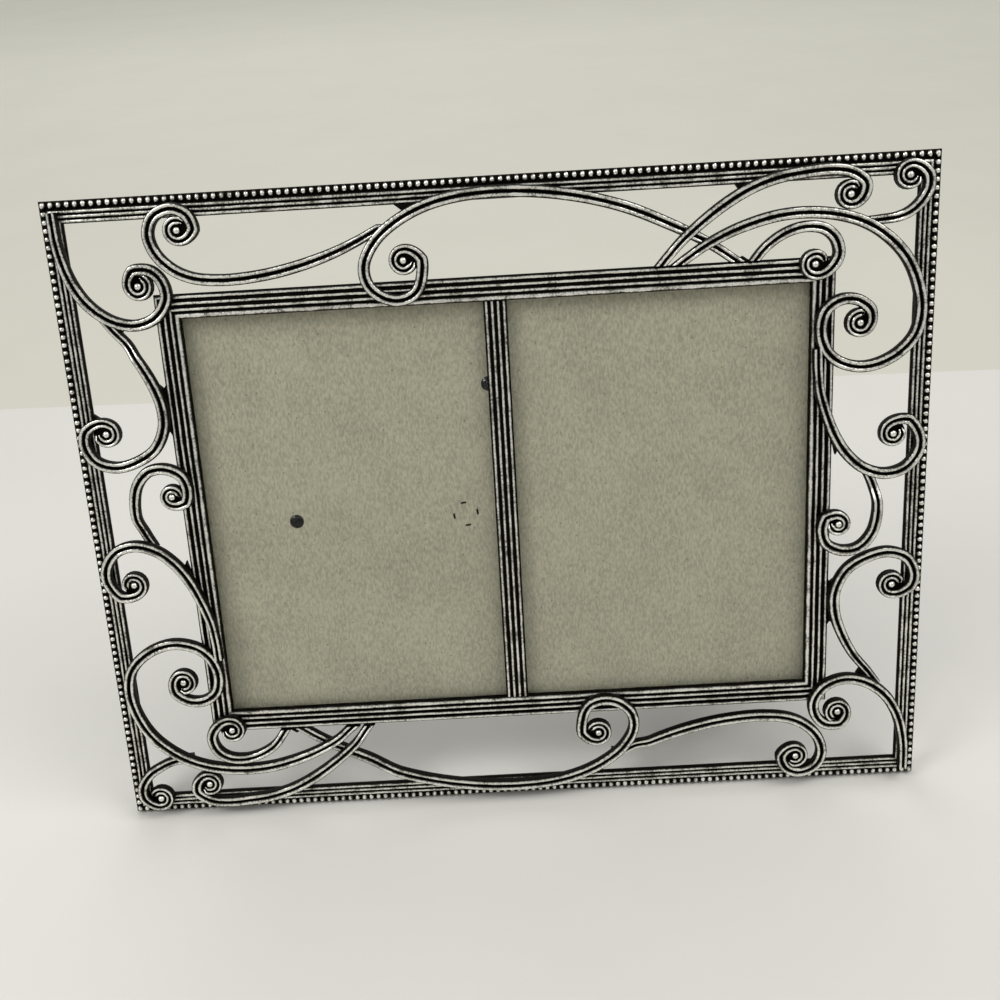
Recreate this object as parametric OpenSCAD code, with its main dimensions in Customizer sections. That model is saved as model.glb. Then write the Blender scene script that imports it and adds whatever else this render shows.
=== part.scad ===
// Double photo frame: a reeded and beaded metal border, open scrollwork, two windows,
// glass, a backing board held by turn buttons, two wall hangers and a two-way easel leg.
// Everything is drawn about the centre of the frame's face: X across, Y towards the back,
// Z up along the face. The module stand() then leans it back on its leg.

/* [Frame] */
// Width of the frame across its beaded border
frame_w = 348; // [325:1:400]
// Height of the frame along its face
frame_h = 266; // [250:1:320]
// Width of the reeded and beaded border
border_w = 8.8; // [7:0.1:9.4]
// How far the border reaches back from the face plane
border_back = 4; // [3:0.1:6]
// How far the reeded part of the border reaches back from the face plane
border_web = 0.8; // [0.6:0.1:2]
// Angle that the frame leans back by when it stands
lean = 15; // [12:0.5:18]

/* [Windows] */
// Visible width of one window
window_w = 119.8; // [110:0.1:124]
// Visible height of a window
window_h = 170.6; // [160:0.1:178]
// Width of a rail round the windows
rail_w = 9.8; // [9:0.1:11]
// How far a rail's reeds reach out past its wall
rim_w = 1.5; // [1:0.1:2]
// Width of the bar between the windows
mullion_w = 9.4; // [8.6:0.1:11]
// How far a rail's lip covers the edge of a print
lip_w = 3.6; // [2.6:0.1:4]
// How far the lip reaches back from the face plane
lip_back = 1; // [0.6:0.1:1.6]

/* [Reeds and beads] */
// How far the reeds stand in front of the face plane
reed_rise = 2; // [1.6:0.1:2.4]
// Radius of a reed on the rails
rail_reed_r = 0.75; // [0.6:0.05:0.9]
// Number of reeds on a rail
rail_reeds = 4; // [3:1:5]
// Radius of a reed on the border
border_reed_r = 0.75; // [0.5:0.05:0.8]
// Number of reeds on the border
border_reeds = 3; // [2:1:3]
// Radius of a bead
bead_r = 1.55; // [1.2:0.05:1.55]
// Distance from bead to bead
bead_pitch = 3.17; // [3.1:0.01:3.6]
// Width of the ledge that the beads lie on
bead_band = 3.4; // [3.2:0.1:3.6]

/* [Scrolls] */
// Width of a scroll's strip
strip_w = 4.8; // [4:0.1:4.9]
// Width of the strip at its tail
tail_w = 3.9; // [3.2:0.1:4]
// Width of the strip in the eye of its curl
eye_w = 3.3; // [2.8:0.1:3.4]
// Thickness of the strip
strip_t = 3.5; // [2.8:0.1:4]
// Radius of the pearl in a curl's eye
pearl_r = 1.45; // [1.1:0.05:1.6]

/* [Glass and backing] */
// Thickness of a glass pane
glass_t = 1.6; // [1.4:0.1:2]
// Room for a print between the glass and the board
print_room = 1.6; // [1.4:0.1:2]
// Thickness of the backing board
board_t = 2.2; // [1.8:0.1:3]
// Thickness of the black paper on the board's back
cover_t = 0.4; // [0.3:0.05:0.6]
// Gap round the glass and the board in their pockets
pocket_gap = 0.4; // [0.3:0.05:0.6]

/* [Turn buttons] */
// Length of a turn button past its screw
button_reach = 14; // [12:0.5:16]
// Width of a turn button
button_w = 6; // [5:0.1:6]
// Thickness of a turn button
button_t = 0.8; // [0.6:0.05:0.9]
// Radius of a button screw's shank
screw_r = 1.2; // [1:0.05:1.3]
// Radius of a button screw's head
screw_head_r = 2.4; // [2.1:0.1:2.8]
// Thickness of a button screw's head
screw_head_t = 0.9; // [0.7:0.05:1]

/* [Wall hangers] */
// Radius of the domed rivet head in front of the board
rivet_dome_r = 3; // [2.6:0.1:3.4]
// Radius of a rivet's shank
rivet_r = 1.3; // [1.1:0.05:1.5]
// Mean radius of a hanging ring
ring_r = 6; // [5.4:0.1:7]
// Radius of the ring's bar in the strap's loop
ring_wire_r = 0.85; // [0.8:0.05:0.95]
// Radius of the ring's bow
ring_arc_r = 0.7; // [0.6:0.05:0.75]
// Width of a hanger strap
strap_w = 8; // [7:0.5:10]
// Thickness of a hanger strap
strap_t = 0.6; // [0.5:0.05:0.7]
// Length of a hanger strap from its rivet to its loop
strap_l = 9.6; // [9.4:0.2:12]

/* [Easel leg] */
// Angle between the open leg and the frame's back
leg_open = 35; // [32:0.5:38]
// Thickness of the leg
leg_t = 2.8; // [2.4:0.1:3.4]
// Width of the leg at its hinge
leg_top_w = 30; // [28:1:36]
// Width of the foot that holds the frame upright as a wide frame
foot_w = 30; // [24:1:34]
// Radius of the hinge pin
pin_r = 1; // [0.9:0.05:1.1]
// Thickness of a hinge leaf
leaf_t = 0.8; // [0.7:0.05:0.9]
// Width of the stay ribbon
ribbon_w = 10; // [8:0.5:12]
// Thickness of the stay ribbon
ribbon_t = 0.5; // [0.4:0.05:0.6]
// Distance from the hinge to the ribbon's ends
ribbon_reach = 92; // [80:1:110]

/* [Hidden] */
$fn = 48;

// Fits and small clearances
run = 0.35; // gap between pieces that move past each other
fit = 0.05; // radial gap of a fixed piece in its hole
pin_gap = 0.08; // radial gap of a turning pin in its bore
seat = 0.02; // gap between pieces that lie on each other
over = 1; // overrun of a cut

// Small sizes that follow from nothing else
open_band = 29; // width of the open band that the scrolls' full strips need
reed_floor = 1.7; // depth of the floor between reeds, in reed radii
thread_share = 0.35; // radius of the thread between beads, as a share of a bead's
screw_deep = 4; // length of a screw in its rail
dome_rise = 1.2; // height of a rivet's dome
prong_r = 5; // radius of the circle of the hinge plate's prongs
prong_t = 0.6; // thickness of a prong
prong_arc = 27; // angle that a prong takes up on the circle
prong_turn = -8; // turn of the prongs from the frame's own axes
prong_show = 0.15; // how far a prong stands out of the board's front
hinge_reach = 9.5; // from the middle of the hinge plate to the hinge's axis
hinge_half_w = 12; // half the hinge's length along its axis
knuckle_r = 1.9; // outer radius of a hinge knuckle
knuckle_half = 5; // half the length of the leg's knuckle
leg_leaf_l = 20; // length of the leg's leaf

// Half sizes of the face, its border and its rails
half_w = frame_w / 2;
half_h = frame_h / 2;
band_out_x = half_w - border_w;
band_out_z = half_h - border_w;
rail_in_x = window_w + mullion_w / 2;
rail_in_z = window_h / 2;
rail_out_x = rail_in_x + rail_w;
rail_out_z = rail_in_z + rail_w;
wall_w = rail_w - lip_w - rim_w;

// Depths behind the face plane, from the glass to the back of the rails
glass_back = lip_back + glass_t;
board_front = glass_back + print_room;
board_back = board_front + board_t;
rail_back = board_back + cover_t;
strip_base = -reed_rise - seat; // the scrolls lie on the reeds' crests

// Border section
border_reed_pitch = (border_w - bead_band) / border_reeds;
bead_ledge = bead_r * 0.3;

// The strips, their curls and pearls narrow where the open band is narrower than they need
room = min(1, (band_out_x - rail_out_x) / open_band, (band_out_z - rail_out_z) / open_band);
strip = strip_w * room;

// Place on the face by shares: up to 1 it runs to the rails' outer edge,
// and from 1 to 2 across the open band to the border's inner edge
function across(u, near, far) =
    abs(u) <= 1 ? u * near : sign(u) * (near + (abs(u) - 1) * (far - near));
function on_face(p) = [across(p.x, rail_out_x, band_out_x), across(p.y, rail_out_z, band_out_z)];

// The scrolls. Each is [stem points in shares, pearl in shares, angle at which its eye begins,
// turn (1 anticlockwise), radius there and radius of the eye as shares of strip_w,
// angle that the eye turns through].
top_left_shares = [
    [[-0.324, 1.701], [-0.387, 1.56], [-0.462, 1.419], [-0.566, 1.278], [-0.67, 1.189],
     [-0.789, 1.158], [-0.876, 1.216], [-0.934, 1.361], [-0.972, 1.577], [-0.983, 1.821],
     [-0.961, 2.027], [-0.908, 2.12], [-0.865, 2.027]],
    [-0.897, 1.835], 0, -1, 1.292, 0.792, 258];
top_arch_shares = [
    [[0.712, 1.003], [0.644, 1.223], [0.555, 1.457], [0.372, 1.828], [0.186, 2.034],
     [0, 2.093], [-0.149, 2.014], [-0.257, 1.821], [-0.335, 1.546], [-0.372, 1.237],
     [-0.365, 0.995], [-0.324, 0.94], [-0.272, 0.925], [-0.223, 0.959]],
    [-0.257, 1.278], 0, 1, 1.5, 0.812, 318];
top_sweep_shares = [
    [[0.488, 1.003], [0.536, 1.265], [0.599, 1.519], [0.678, 1.777], [0.752, 1.955],
     [0.827, 2.062], [0.901, 2.107], [0.975, 2.124], [1.138, 2.076], [1.313, 1.931]],
    [1.122, 1.797], 0, -1, 1.188, 0.771, 270];
corner_hook_shares = [
    [[0.54, 1.003], [0.599, 1.199], [0.674, 1.375], [0.748, 1.495], [0.819, 1.57],
     [0.894, 1.595], [0.983, 1.557], [1.286, 1.443], [1.582, 1.251], [1.845, 0.988],
     [2.01, 0.873], [2.062, 0.757], [1.993, 0.662], [1.78, 0.589], [1.516, 0.549],
     [1.286, 0.542], [1.023, 0.57], [0.965, 0.631], [0.952, 0.715], [0.968, 0.787],
     [1.056, 0.826], [1.266, 0.819]],
    [1.286, 0.726], 50, -1, 1.375, 0.812, 308];
corner_curl_shares = [
    [[0.761, 1.003], [0.793, 1.189], [0.844, 1.344], [0.901, 1.412], [0.956, 1.375],
     [0.99, 1.237], [1.003, 1.045]],
    [0.931, 0.975], 0, -1, 1.667, 0.812, 334];
corner_tip_shares = [
    [[1.339, 1.426], [1.516, 1.44], [1.747, 1.474], [1.951, 1.595], [2.089, 1.808]],
    [1.845, 2], 0, 1, 1.542, 0.771, 330];
right_upper_shares = [
    [[0.946, 0.547], [0.953, 0.452], [0.972, 0.358], [1.007, 0.252], [1.171, 0.168],
     [1.401, 0.101], [1.681, 0.072], [1.944, 0.095], [2.102, 0.161], [2.115, 0.231]],
    [1.76, 0.248], 40, 1, 1.75, 0.75, 338];
right_middle_shares = [
    [[1.451, 0.095], [1.563, 0.011], [1.602, -0.095], [1.53, -0.198], [1.352, -0.259],
     [1.122, -0.267], [0.983, -0.231], [0.969, -0.166]],
    [1.079, -0.144], 150, -1, 1.229, 0.667, 283];
right_lower_shares = [
    [[1.582, -0.868], [1.343, -0.768], [1.158, -0.652], [1.06, -0.547], [1.067, -0.45],
     [1.222, -0.356], [1.51, -0.301], [1.78, -0.286], [2.023, -0.318], [2.128, -0.393]],
    [1.819, -0.435], -10, -1, 1.75, 0.792, 338];
right_foot_shares = [
    [[2.092, -2.148], [2.076, -1.684], [1.977, -1.237], [1.796, -0.973], [1.516, -0.904],
     [1.22, -0.884], [0.99, -0.915], [0.955, -0.988], [0.962, -1.189], [0.993, -1.337]],
    [1.132, -1.137], -75, 1, 1.292, 0.792, 280];

// Lengths of a scroll's tail that run low, in strip widths: [drop as a share of strip_t,
// length that stays low, length of the slope up]
butt_tail_shares = [0.72, 0, 1.8];
tucked_tail_shares = [1.02, 1.4, 1.9];
under_arch_shares = [1.02, 6.6, 3.6];
level_tail_shares = [0, 0, 1];

// Shape of the strip's section, across in half widths and up in thicknesses
section_shares = [[-1, 0], [-1, 0.46], [-0.56, 1], [0, 0.5], [0.56, 1], [1, 0.46], [1, 0]];
section_groove = 3;

// The eye of a curl closes in over this angle, in this many rings, and narrows over this one
eye_fade = 42;
eye_rings = 13;
eye_narrow = 60;
stem_steps = 3;
tail_taper = 8; // the tail widens over this many strip widths

// Points along a smooth stem, spaced by the chords' square roots
function chord(a, b) = max(sqrt(norm(b - a)), 0.001);
function slope_at(a, b, c) =
    (b - a) / chord(a, b) - (c - a) / (chord(a, b) + chord(b, c)) + (c - b) / chord(b, c);
function on_stem(a, b, c, d, t) =
    let (m = slope_at(a, b, c) * chord(b, c), n = slope_at(b, c, d) * chord(b, c))
    (2 * t ^ 3 - 3 * t ^ 2 + 1) * b + (t ^ 3 - 2 * t ^ 2 + t) * m
    + (3 * t ^ 2 - 2 * t ^ 3) * c + (t ^ 3 - t ^ 2) * n;
function eye_point(scroll, k) =
    let (angle = scroll[6] * k / eye_rings,
         eye = scroll[5] * strip,
         r = eye + (scroll[4] * strip - eye) * exp(-angle / eye_fade),
         a = scroll[2] + scroll[3] * angle)
    on_face(scroll[1]) + r * [cos(a), sin(a)];
function knots(scroll) =
    let (stem = [for (p = scroll[0]) on_face(p)])
    concat([2 * stem[0] - stem[1]], stem, [eye_point(scroll, 0), eye_point(scroll, 1)]);
function centre_line(scroll, steps) =
    let (q = knots(scroll), stems = len(q) - 3)
    concat([for (i = [0 : stems - 1], k = [0 : steps - 1])
                on_stem(q[i], q[i + 1], q[i + 2], q[i + 3], k / steps)],
           [for (k = [0 : eye_rings]) eye_point(scroll, k)]);

// Distance along a line of points, and the unit vector across it
function run_of(p, i) = i == 0 ? 0 : run_of(p, i - 1) + norm(p[i] - p[i - 1]);
function tangent(p, i) =
    let (a = p[max(i - 1, 0)], b = p[min(i + 1, len(p) - 1)]) (b - a) / norm(b - a);
function sideways(p, i) = let (t = tangent(p, i)) [-t.y, t.x];
function smooth(t) = let (c = min(max(t, 0), 1)) c * c * (3 - 2 * c);

// Width and drop of the strip at one ring
function strip_width(p, i, rings, turned) =
    let (first_eye = rings - 1 - eye_rings,
         grown = tail_w + (strip_w - tail_w) * smooth(run_of(p, i) / (tail_taper * strip)),
         angle = turned * max(i - first_eye, 0) / eye_rings)
    room * (eye_w + (grown - eye_w) * exp(-angle / eye_narrow));
function strip_drop(p, i, tail) =
    tail[0] * strip_t * (1 - smooth((run_of(p, i) / strip - tail[1]) / tail[2]));

// One scroll: a strip with two round reeds swept along its centre line.
// Its first ring is cut level where the tail butts against a rail.
module scroll(shape, tail, level = false, steps = stem_steps) {
    p = centre_line(shape, steps);
    rings = len(p);
    sides = len(section_shares);
    points = [for (i = [0 : rings - 1])
        let (n = sideways(p, i),
             cut = level && i == 0 ? [sign(n.x), 0] / abs(n.x) : n,
             w = strip_width(p, i, rings, shape[6]) / 2,
             base = strip_base + strip_drop(p, i, tail))
        for (s = section_shares)
            [p[i].x + cut.x * s.x * w, base - s.y * strip_t, p[i].y + cut.y * s.x * w]];
    skin = [for (i = [0 : rings - 2], j = [0 : sides - 1], half = [0, 1])
        let (a = i * sides + j, b = i * sides + (j + 1) % sides)
        half == 0 ? [a, b, a + sides] : [b, b + sides, a + sides]];
    caps = [for (j = [1 : sides - 2], end = [0, 1])
        let (ring = end * (rings - 1) * sides,
             a = ring + section_groove,
             b = ring + (section_groove + j) % sides,
             c = ring + (section_groove + j + 1) % sides)
        end == 0 ? [a, c, b] : [a, b, c]];
    polyhedron(points, concat(skin, caps));
}

// The half turn about the middle of the face that repeats the scrollwork
module half_turn() {
    rotate([0, 180, 0])
        children();
}

// Half of the face's side bars: a section drawn outwards from the inner edge, mitred at both
// ends. It is drawn for the top and turned to the other sides.
module mitred_bar(near, half_length, width) {
    outer = near + width;
    inner_half = half_length - width;
    intersection() {
        rotate([0, -90, 0])
            linear_extrude(height = 2 * half_length, center = true)
                translate([near, 0])
                    children();
        rotate([90, 0, 0])
            linear_extrude(height = 2 * (rail_back + reed_rise + over), center = true)
                polygon([[-inner_half, near], [inner_half, near],
                         [half_length, outer], [-half_length, outer]]);
    }
}
module to_top() { children(); }
module to_bottom() { rotate([0, 180, 0]) children(); }
module to_right() { rotate([0, 90, 0]) children(); }
module to_left() { rotate([0, -90, 0]) children(); }

// Reeds side by side on a floor, from the inner edge outwards, with their crests forward
module reeds(count, pitch, r, back) {
    floor_y = r * reed_floor - reed_rise;
    for (i = [0 : count - 1])
        translate([(i + 0.5) * pitch, r - reed_rise])
            circle(r = r);
    translate([0, floor_y])
        square([count * pitch, back - floor_y]);
}
module border_section() {
    reeds(border_reeds, border_reed_pitch, border_reed_r, border_web);
    translate([border_reeds * border_reed_pitch - over, bead_ledge])
        square([bead_band + over, border_back - bead_ledge]);
}
module rail_section() {
    reeds(rail_reeds, rail_w / rail_reeds, rail_reed_r, lip_back);
    translate([lip_w, 0])
        square([wall_w, rail_back]);
}

module border_across() {
    color("silver")
        mitred_bar(band_out_z, half_w, border_w)
            border_section();
}
module border_upright() {
    color("silver")
        mitred_bar(band_out_x, half_h, border_w)
            border_section();
}

// A row of beads on a thread, cut flat where it lies on the border's ledge
module bead_string(count, pitch) {
    length = (count - 1) * pitch;
    rotate_extrude(angle = 180)
        intersection() {
            union() {
                for (i = [0 : count - 1])
                    translate([0, i * pitch - length / 2])
                        circle(r = bead_r);
                translate([0, -length / 2])
                    square([bead_r * thread_share, length]);
            }
            translate([0, -length / 2 - bead_r - over])
                square([bead_r + over, length + 2 * bead_r + 2 * over]);
        }
}
beads_across = round((frame_w - bead_band) / bead_pitch) + 1;
beads_upright = round((frame_h - bead_band) / bead_pitch) - 1;
module bead_row_across() {
    pitch = (frame_w - bead_band) / (beads_across - 1);
    color("silver")
        translate([0, bead_ledge - seat, half_h - bead_band / 2])
            rotate([180, 0, 0])
                rotate([0, 90, 0])
                    bead_string(beads_across, pitch);
}
module bead_row_upright() {
    pitch = (frame_h - bead_band) / (beads_upright + 1);
    color("silver")
        translate([half_w - bead_band / 2, bead_ledge - seat, 0])
            rotate([0, 0, 180])
                bead_string(beads_upright, pitch);
}

// A rail with its lip over the glass, its wall round the board and bores for button screws
module rail(near, half_length, screws) {
    color("silver")
        difference() {
            mitred_bar(near, half_length, rail_w)
                rail_section();
            for (u = screws)
                translate([u, rail_back - screw_deep, near + lip_w + wall_w / 2])
                    rotate([-90, 0, 0])
                        cylinder(r = screw_r + fit, h = screw_deep + over);
        }
}
button_at = rail_in_z + lip_w + wall_w / 2;
button_at_x = rail_in_x + lip_w + wall_w / 2;
button_x = rail_in_x / 2;
module rail_across(turn) { rail(rail_in_z, rail_out_x, [-button_x, button_x]); }
module rail_upright() { rail(rail_in_x, rail_out_z, [0]); }

module mullion() {
    pitch = mullion_w / rail_reeds;
    floor_y = rail_reed_r * reed_floor - reed_rise;
    web = mullion_w - 2 * lip_w;
    color("silver")
        difference() {
            linear_extrude(height = 2 * (rail_in_z - seat), center = true) {
                for (i = [0 : rail_reeds - 1])
                    translate([(i + 0.5) * pitch - mullion_w / 2, rail_reed_r - reed_rise])
                        circle(r = rail_reed_r);
                translate([-mullion_w / 2, floor_y])
                    square([mullion_w, lip_back - floor_y]);
                translate([-web / 2, 0])
                    square([web, board_front - seat]);
            }
            at_wide_hanger()
                translate([0, board_front - dome_rise - fit, 0])
                    rotate([-90, 0, 0])
                        cylinder(r = rivet_dome_r + fit, h = dome_rise + over);
        }
}

module curl(shape, tail, level = false, steps = stem_steps) {
    color("silver")
        scroll(shape, tail, level, steps);
}
module top_left() { curl(top_left_shares, tucked_tail_shares); }
module top_arch() { curl(top_arch_shares, under_arch_shares, true); }
module top_sweep() { curl(top_sweep_shares, butt_tail_shares, true); }
module corner_hook() { curl(corner_hook_shares, butt_tail_shares, true, 2); }
module corner_curl() { curl(corner_curl_shares, butt_tail_shares, true); }
module corner_tip() { curl(corner_tip_shares, tucked_tail_shares); }
module right_upper() { curl(right_upper_shares, level_tail_shares); }
module right_middle() { curl(right_middle_shares, tucked_tail_shares); }
module right_lower() { curl(right_lower_shares, tucked_tail_shares); }
module right_foot() { curl(right_foot_shares, level_tail_shares); }

// A pearl on its stud in every curl's eye, and again after the half turn
module pearls() {
    shapes = [top_left_shares, top_arch_shares, top_sweep_shares, corner_hook_shares,
              corner_curl_shares, corner_tip_shares, right_upper_shares, right_middle_shares,
              right_lower_shares, right_foot_shares];
    color("silver")
        for (shape = shapes, half = [1, -1])
            let (c = half * on_face(shape[1]),
                 base_r = (shape[5] * strip_w - eye_w / 2 - 2 * fit) * room,
                 ball_r = pearl_r * room) {
                translate([c.x, strip_base, c.y])
                    rotate([90, 0, 0]) {
                        cylinder(r = base_r, h = strip_t * 0.3);
                        cylinder(r = ball_r * 0.7, h = strip_t - ball_r / 2);
                        translate([0, 0, strip_t - ball_r / 2])
                            sphere(r = ball_r);
                    }
            }
}

// Flat plates in the pocket behind the lip
pocket_x = rail_in_x + lip_w - pocket_gap;
pocket_z = rail_in_z + lip_w - pocket_gap;
module plate(x0, x1, y0, y1) {
    translate([x0, y0, -pocket_z])
        cube([x1 - x0, y1 - y0, 2 * pocket_z]);
}
web_side = mullion_w / 2 - lip_w + pocket_gap;
module glass_left() {
    color("azure", 0.35)
        plate(-pocket_x, -web_side, lip_back + seat, glass_back);
}
module glass_right() {
    color("azure", 0.35)
        plate(web_side, pocket_x, lip_back + seat, glass_back);
}

// Places on the board, as shares of the pocket's half sizes
wide_hanger_shares = [-0.036, 0.585];
tall_hanger_shares = [-0.693, -0.025];
hinge_plate_shares = [-0.135, -0.033];
function on_board(s) = [s.x * pocket_x, s.y * pocket_z];
module board_holes() {
    for (s = [wide_hanger_shares, tall_hanger_shares])
        let (p = on_board(s))
            translate([p.x, 0, p.y])
                rotate([-90, 0, 0])
                    cylinder(r = rivet_r + fit, h = rail_back + over);
    prongs(prong_t / 2 + fit, 0, rail_back + over);
}
module backing_board() {
    color("darkkhaki")
        difference() {
            plate(-pocket_x, pocket_x, board_front, board_back);
            board_holes();
        }
}
module board_cover() {
    color("dimgray")
        difference() {
            plate(-pocket_x, pocket_x, board_back, rail_back);
            board_holes();
        }
}

// Four bent prongs of the hinge plate, which show as short arcs on the board's front
module prongs(half_t, y0, y1) {
    p = on_board(hinge_plate_shares);
    translate([p.x, y0, p.y])
        for (k = [0 : 3])
            rotate([0, prong_turn - 90 * k, 0])
                rotate([-90, 0, 0])
                    rotate([0, 0, -prong_arc / 2])
                        rotate_extrude(angle = prong_arc)
                            translate([prong_r - half_t, 0])
                                square([2 * half_t, y1 - y0]);
}

// A turn button, its long end over the board. It turns about its screw.
module button_blank() {
    difference() {
        union() {
            cylinder(r = button_w / 2, h = button_t);
            translate([0, -button_w / 2, 0])
                cube([button_reach - button_w, button_w, button_t]);
            translate([button_reach - button_w, 0, 0])
                cylinder(r = button_w / 2, h = button_t);
        }
        translate([0, 0, -over])
            cylinder(r = screw_r + fit, h = button_t + 2 * over);
    }
}
// Places a button or screw: centre, and the turn that points the button's long end
module at_button(x, z, turn) {
    translate([x, 0, z])
        rotate([0, turn, 0])
            rotate([-90, 0, 0])
                children();
}
module button(x, z, turn) {
    color("darkgoldenrod")
        at_button(x, z, turn)
            translate([0, 0, rail_back + run])
                button_blank();
}
button_places = [[-button_x, button_at, 90], [button_x, button_at, 90],
                 [-button_x, -button_at, -90], [button_x, -button_at, -90],
                 [-button_at_x, 0, 0], [button_at_x, 0, 180]];
module button_n(n) { button(button_places[n][0], button_places[n][1], button_places[n][2]); }
module button_screws() {
    color("goldenrod")
        for (b = button_places)
            at_button(b[0], b[1], b[2]) {
                translate([0, 0, rail_back - screw_deep + seat])
                    cylinder(r = screw_r, h = screw_deep + button_t + 2 * run);
                translate([0, 0, rail_back + button_t + 2 * run])
                    cylinder(r = screw_head_r, h = screw_head_t);
            }
}

// A hanger: domed rivet, strap with a rolled loop, and a ring with a straight bar in the loop.
// Drawn with its rivet at the origin, the strap running up, Z upwards and Y back.
loop_y = rail_back + strap_t + run + ring_arc_r;
module hanger_rivet() {
    dome_r = (rivet_dome_r * rivet_dome_r + dome_rise * dome_rise) / (2 * dome_rise);
    color("black") {
        rotate([90, 0, 0])
            translate([0, 0, -board_front])
                intersection() {
                    cylinder(r = rivet_dome_r, h = dome_rise + over);
                    translate([0, 0, dome_rise - dome_r])
                        sphere(r = dome_r);
                }
        translate([0, board_front - dome_rise / 2, 0])
            rotate([-90, 0, 0])
                cylinder(r = rivet_r, h = rail_back - board_front + strap_t + dome_rise);
        translate([0, rail_back + strap_t + seat, 0])
            rotate([-90, 0, 0])
                cylinder(r = rivet_r * 1.7, h = strap_t);
    }
}
module hanger_strap() {
    color("goldenrod")
        difference() {
            union() {
                translate([-strap_w / 2, rail_back + seat, -strap_w / 2])
                    cube([strap_w, strap_t, strap_l + strap_w / 2]);
                translate([-strap_w / 2, loop_y, strap_l])
                    rotate([0, 90, 0])
                        cylinder(r = loop_y - rail_back - 2 * seat, h = strap_w);
            }
            translate([-strap_w / 2 - over, loop_y, strap_l])
                rotate([0, 90, 0])
                    cylinder(r = ring_wire_r + pin_gap, h = strap_w + 2 * over);
            rotate([-90, 0, 0])
                cylinder(r = rivet_r + fit, h = rail_back + strap_t + over);
        }
}
// The ring, drawn with its bar on the X axis and its bow hanging along -Z
module hanger_ring() {
    bar = 2 * (ring_r + ring_wire_r);
    color("goldenrod") {
        translate([-bar / 2, 0, 0])
            rotate([0, 90, 0])
                cylinder(r = ring_wire_r, h = bar);
        rotate([-90, 0, 0])
            rotate_extrude(angle = 180)
                translate([ring_r, 0])
                    circle(r = ring_arc_r);
    }
}
module at_wide_hanger() {
    p = on_board(wide_hanger_shares);
    translate([p.x, 0, p.y])
        children();
}
module at_tall_hanger() {
    p = on_board(tall_hanger_shares);
    translate([p.x, 0, p.y])
        rotate([0, -90, 0])
            children();
}

// The easel hinge: its axis lies on the diagonal, so that one leg serves both ways up.
// Leg coordinates: X away from the hinge along the leg, Y along the axis, Z away from the board.
module on_diagonal() {
    p = on_board(hinge_plate_shares);
    translate([p.x, 0, p.y])
        rotate([0, 45, 0])
            rotate([-90, 0, 0])
                children();
}
axis_y = rail_back + knuckle_r + run;
module leg_place(angle) {
    on_diagonal()
        translate([hinge_reach, 0, axis_y])
            rotate([0, -angle, 0])
                children();
}
module knuckle(t0, t1) {
    translate([0, t0, 0])
        rotate([-90, 0, 0])
            cylinder(r = knuckle_r, h = t1 - t0);
}
module pin_bore(r) {
    translate([0, -hinge_half_w - over, 0])
        rotate([-90, 0, 0])
            cylinder(r = r, h = 2 * (hinge_half_w + over));
}
module hinge_leaf() {
    inner = knuckle_half + run;
    color("goldenrod") {
        on_diagonal()
            difference() {
                union() {
                    translate([-hinge_reach, -hinge_half_w, rail_back + seat])
                        cube([2 * hinge_reach - knuckle_r - 2 * run, 2 * hinge_half_w, leaf_t]);
                    for (side = [-hinge_half_w, inner])
                        translate([0, side, rail_back + seat])
                            cube([hinge_reach + knuckle_r / 2, hinge_half_w - inner, leaf_t]);
                    translate([hinge_reach, 0, axis_y]) {
                        knuckle(-hinge_half_w, -inner);
                        knuckle(inner, hinge_half_w);
                    }
                }
                translate([hinge_reach, 0, axis_y])
                    pin_bore(pin_r + fit / 2);
            }
        prongs(prong_t / 2, board_front - prong_show, rail_back + leaf_t / 2);
    }
}
module hinge_pin() {
    color("goldenrod")
        leg_place(0)
            translate([0, -hinge_half_w - pin_r / 2, 0])
                rotate([-90, 0, 0])
                    cylinder(r = pin_r, h = 2 * hinge_half_w + pin_r);
}
module leg_leaf() {
    color("goldenrod")
        leg_place(leg_open)
            difference() {
                union() {
                    knuckle(-knuckle_half, knuckle_half);
                    translate([0, -knuckle_half, -leaf_t / 2])
                        cube([knuckle_r + 2 * run, 2 * knuckle_half, leaf_t]);
                    translate([knuckle_r + run, -hinge_half_w, -leaf_t / 2])
                        cube([leg_leaf_l, 2 * hinge_half_w, leaf_t]);
                }
                pin_bore(pin_r + pin_gap);
                at_leg_rivets()
                    translate([0, 0, -over])
                        cylinder(r = rivet_r + fit, h = leg_t + 2 * over);
            }
}
module at_leg_rivets() {
    for (t = [-1, 1])
        translate([knuckle_r + run + leg_leaf_l * 0.6, t * hinge_half_w * 0.6, 0])
            children();
}
module leg_rivets() {
    color("goldenrod")
        leg_place(leg_open)
            at_leg_rivets() {
                translate([0, 0, -leaf_t / 2 - leaf_t * 0.7])
                    cylinder(r = rivet_r * 1.7, h = leaf_t * 0.7 - seat);
                translate([0, 0, -leaf_t])
                    cylinder(r = rivet_r, h = leg_t + 2 * leaf_t);
                translate([0, 0, leaf_t / 2 + leg_t + 2 * seat])
                    cylinder(r = rivet_r * 1.7, h = leaf_t * 0.7);
            }
}

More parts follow.
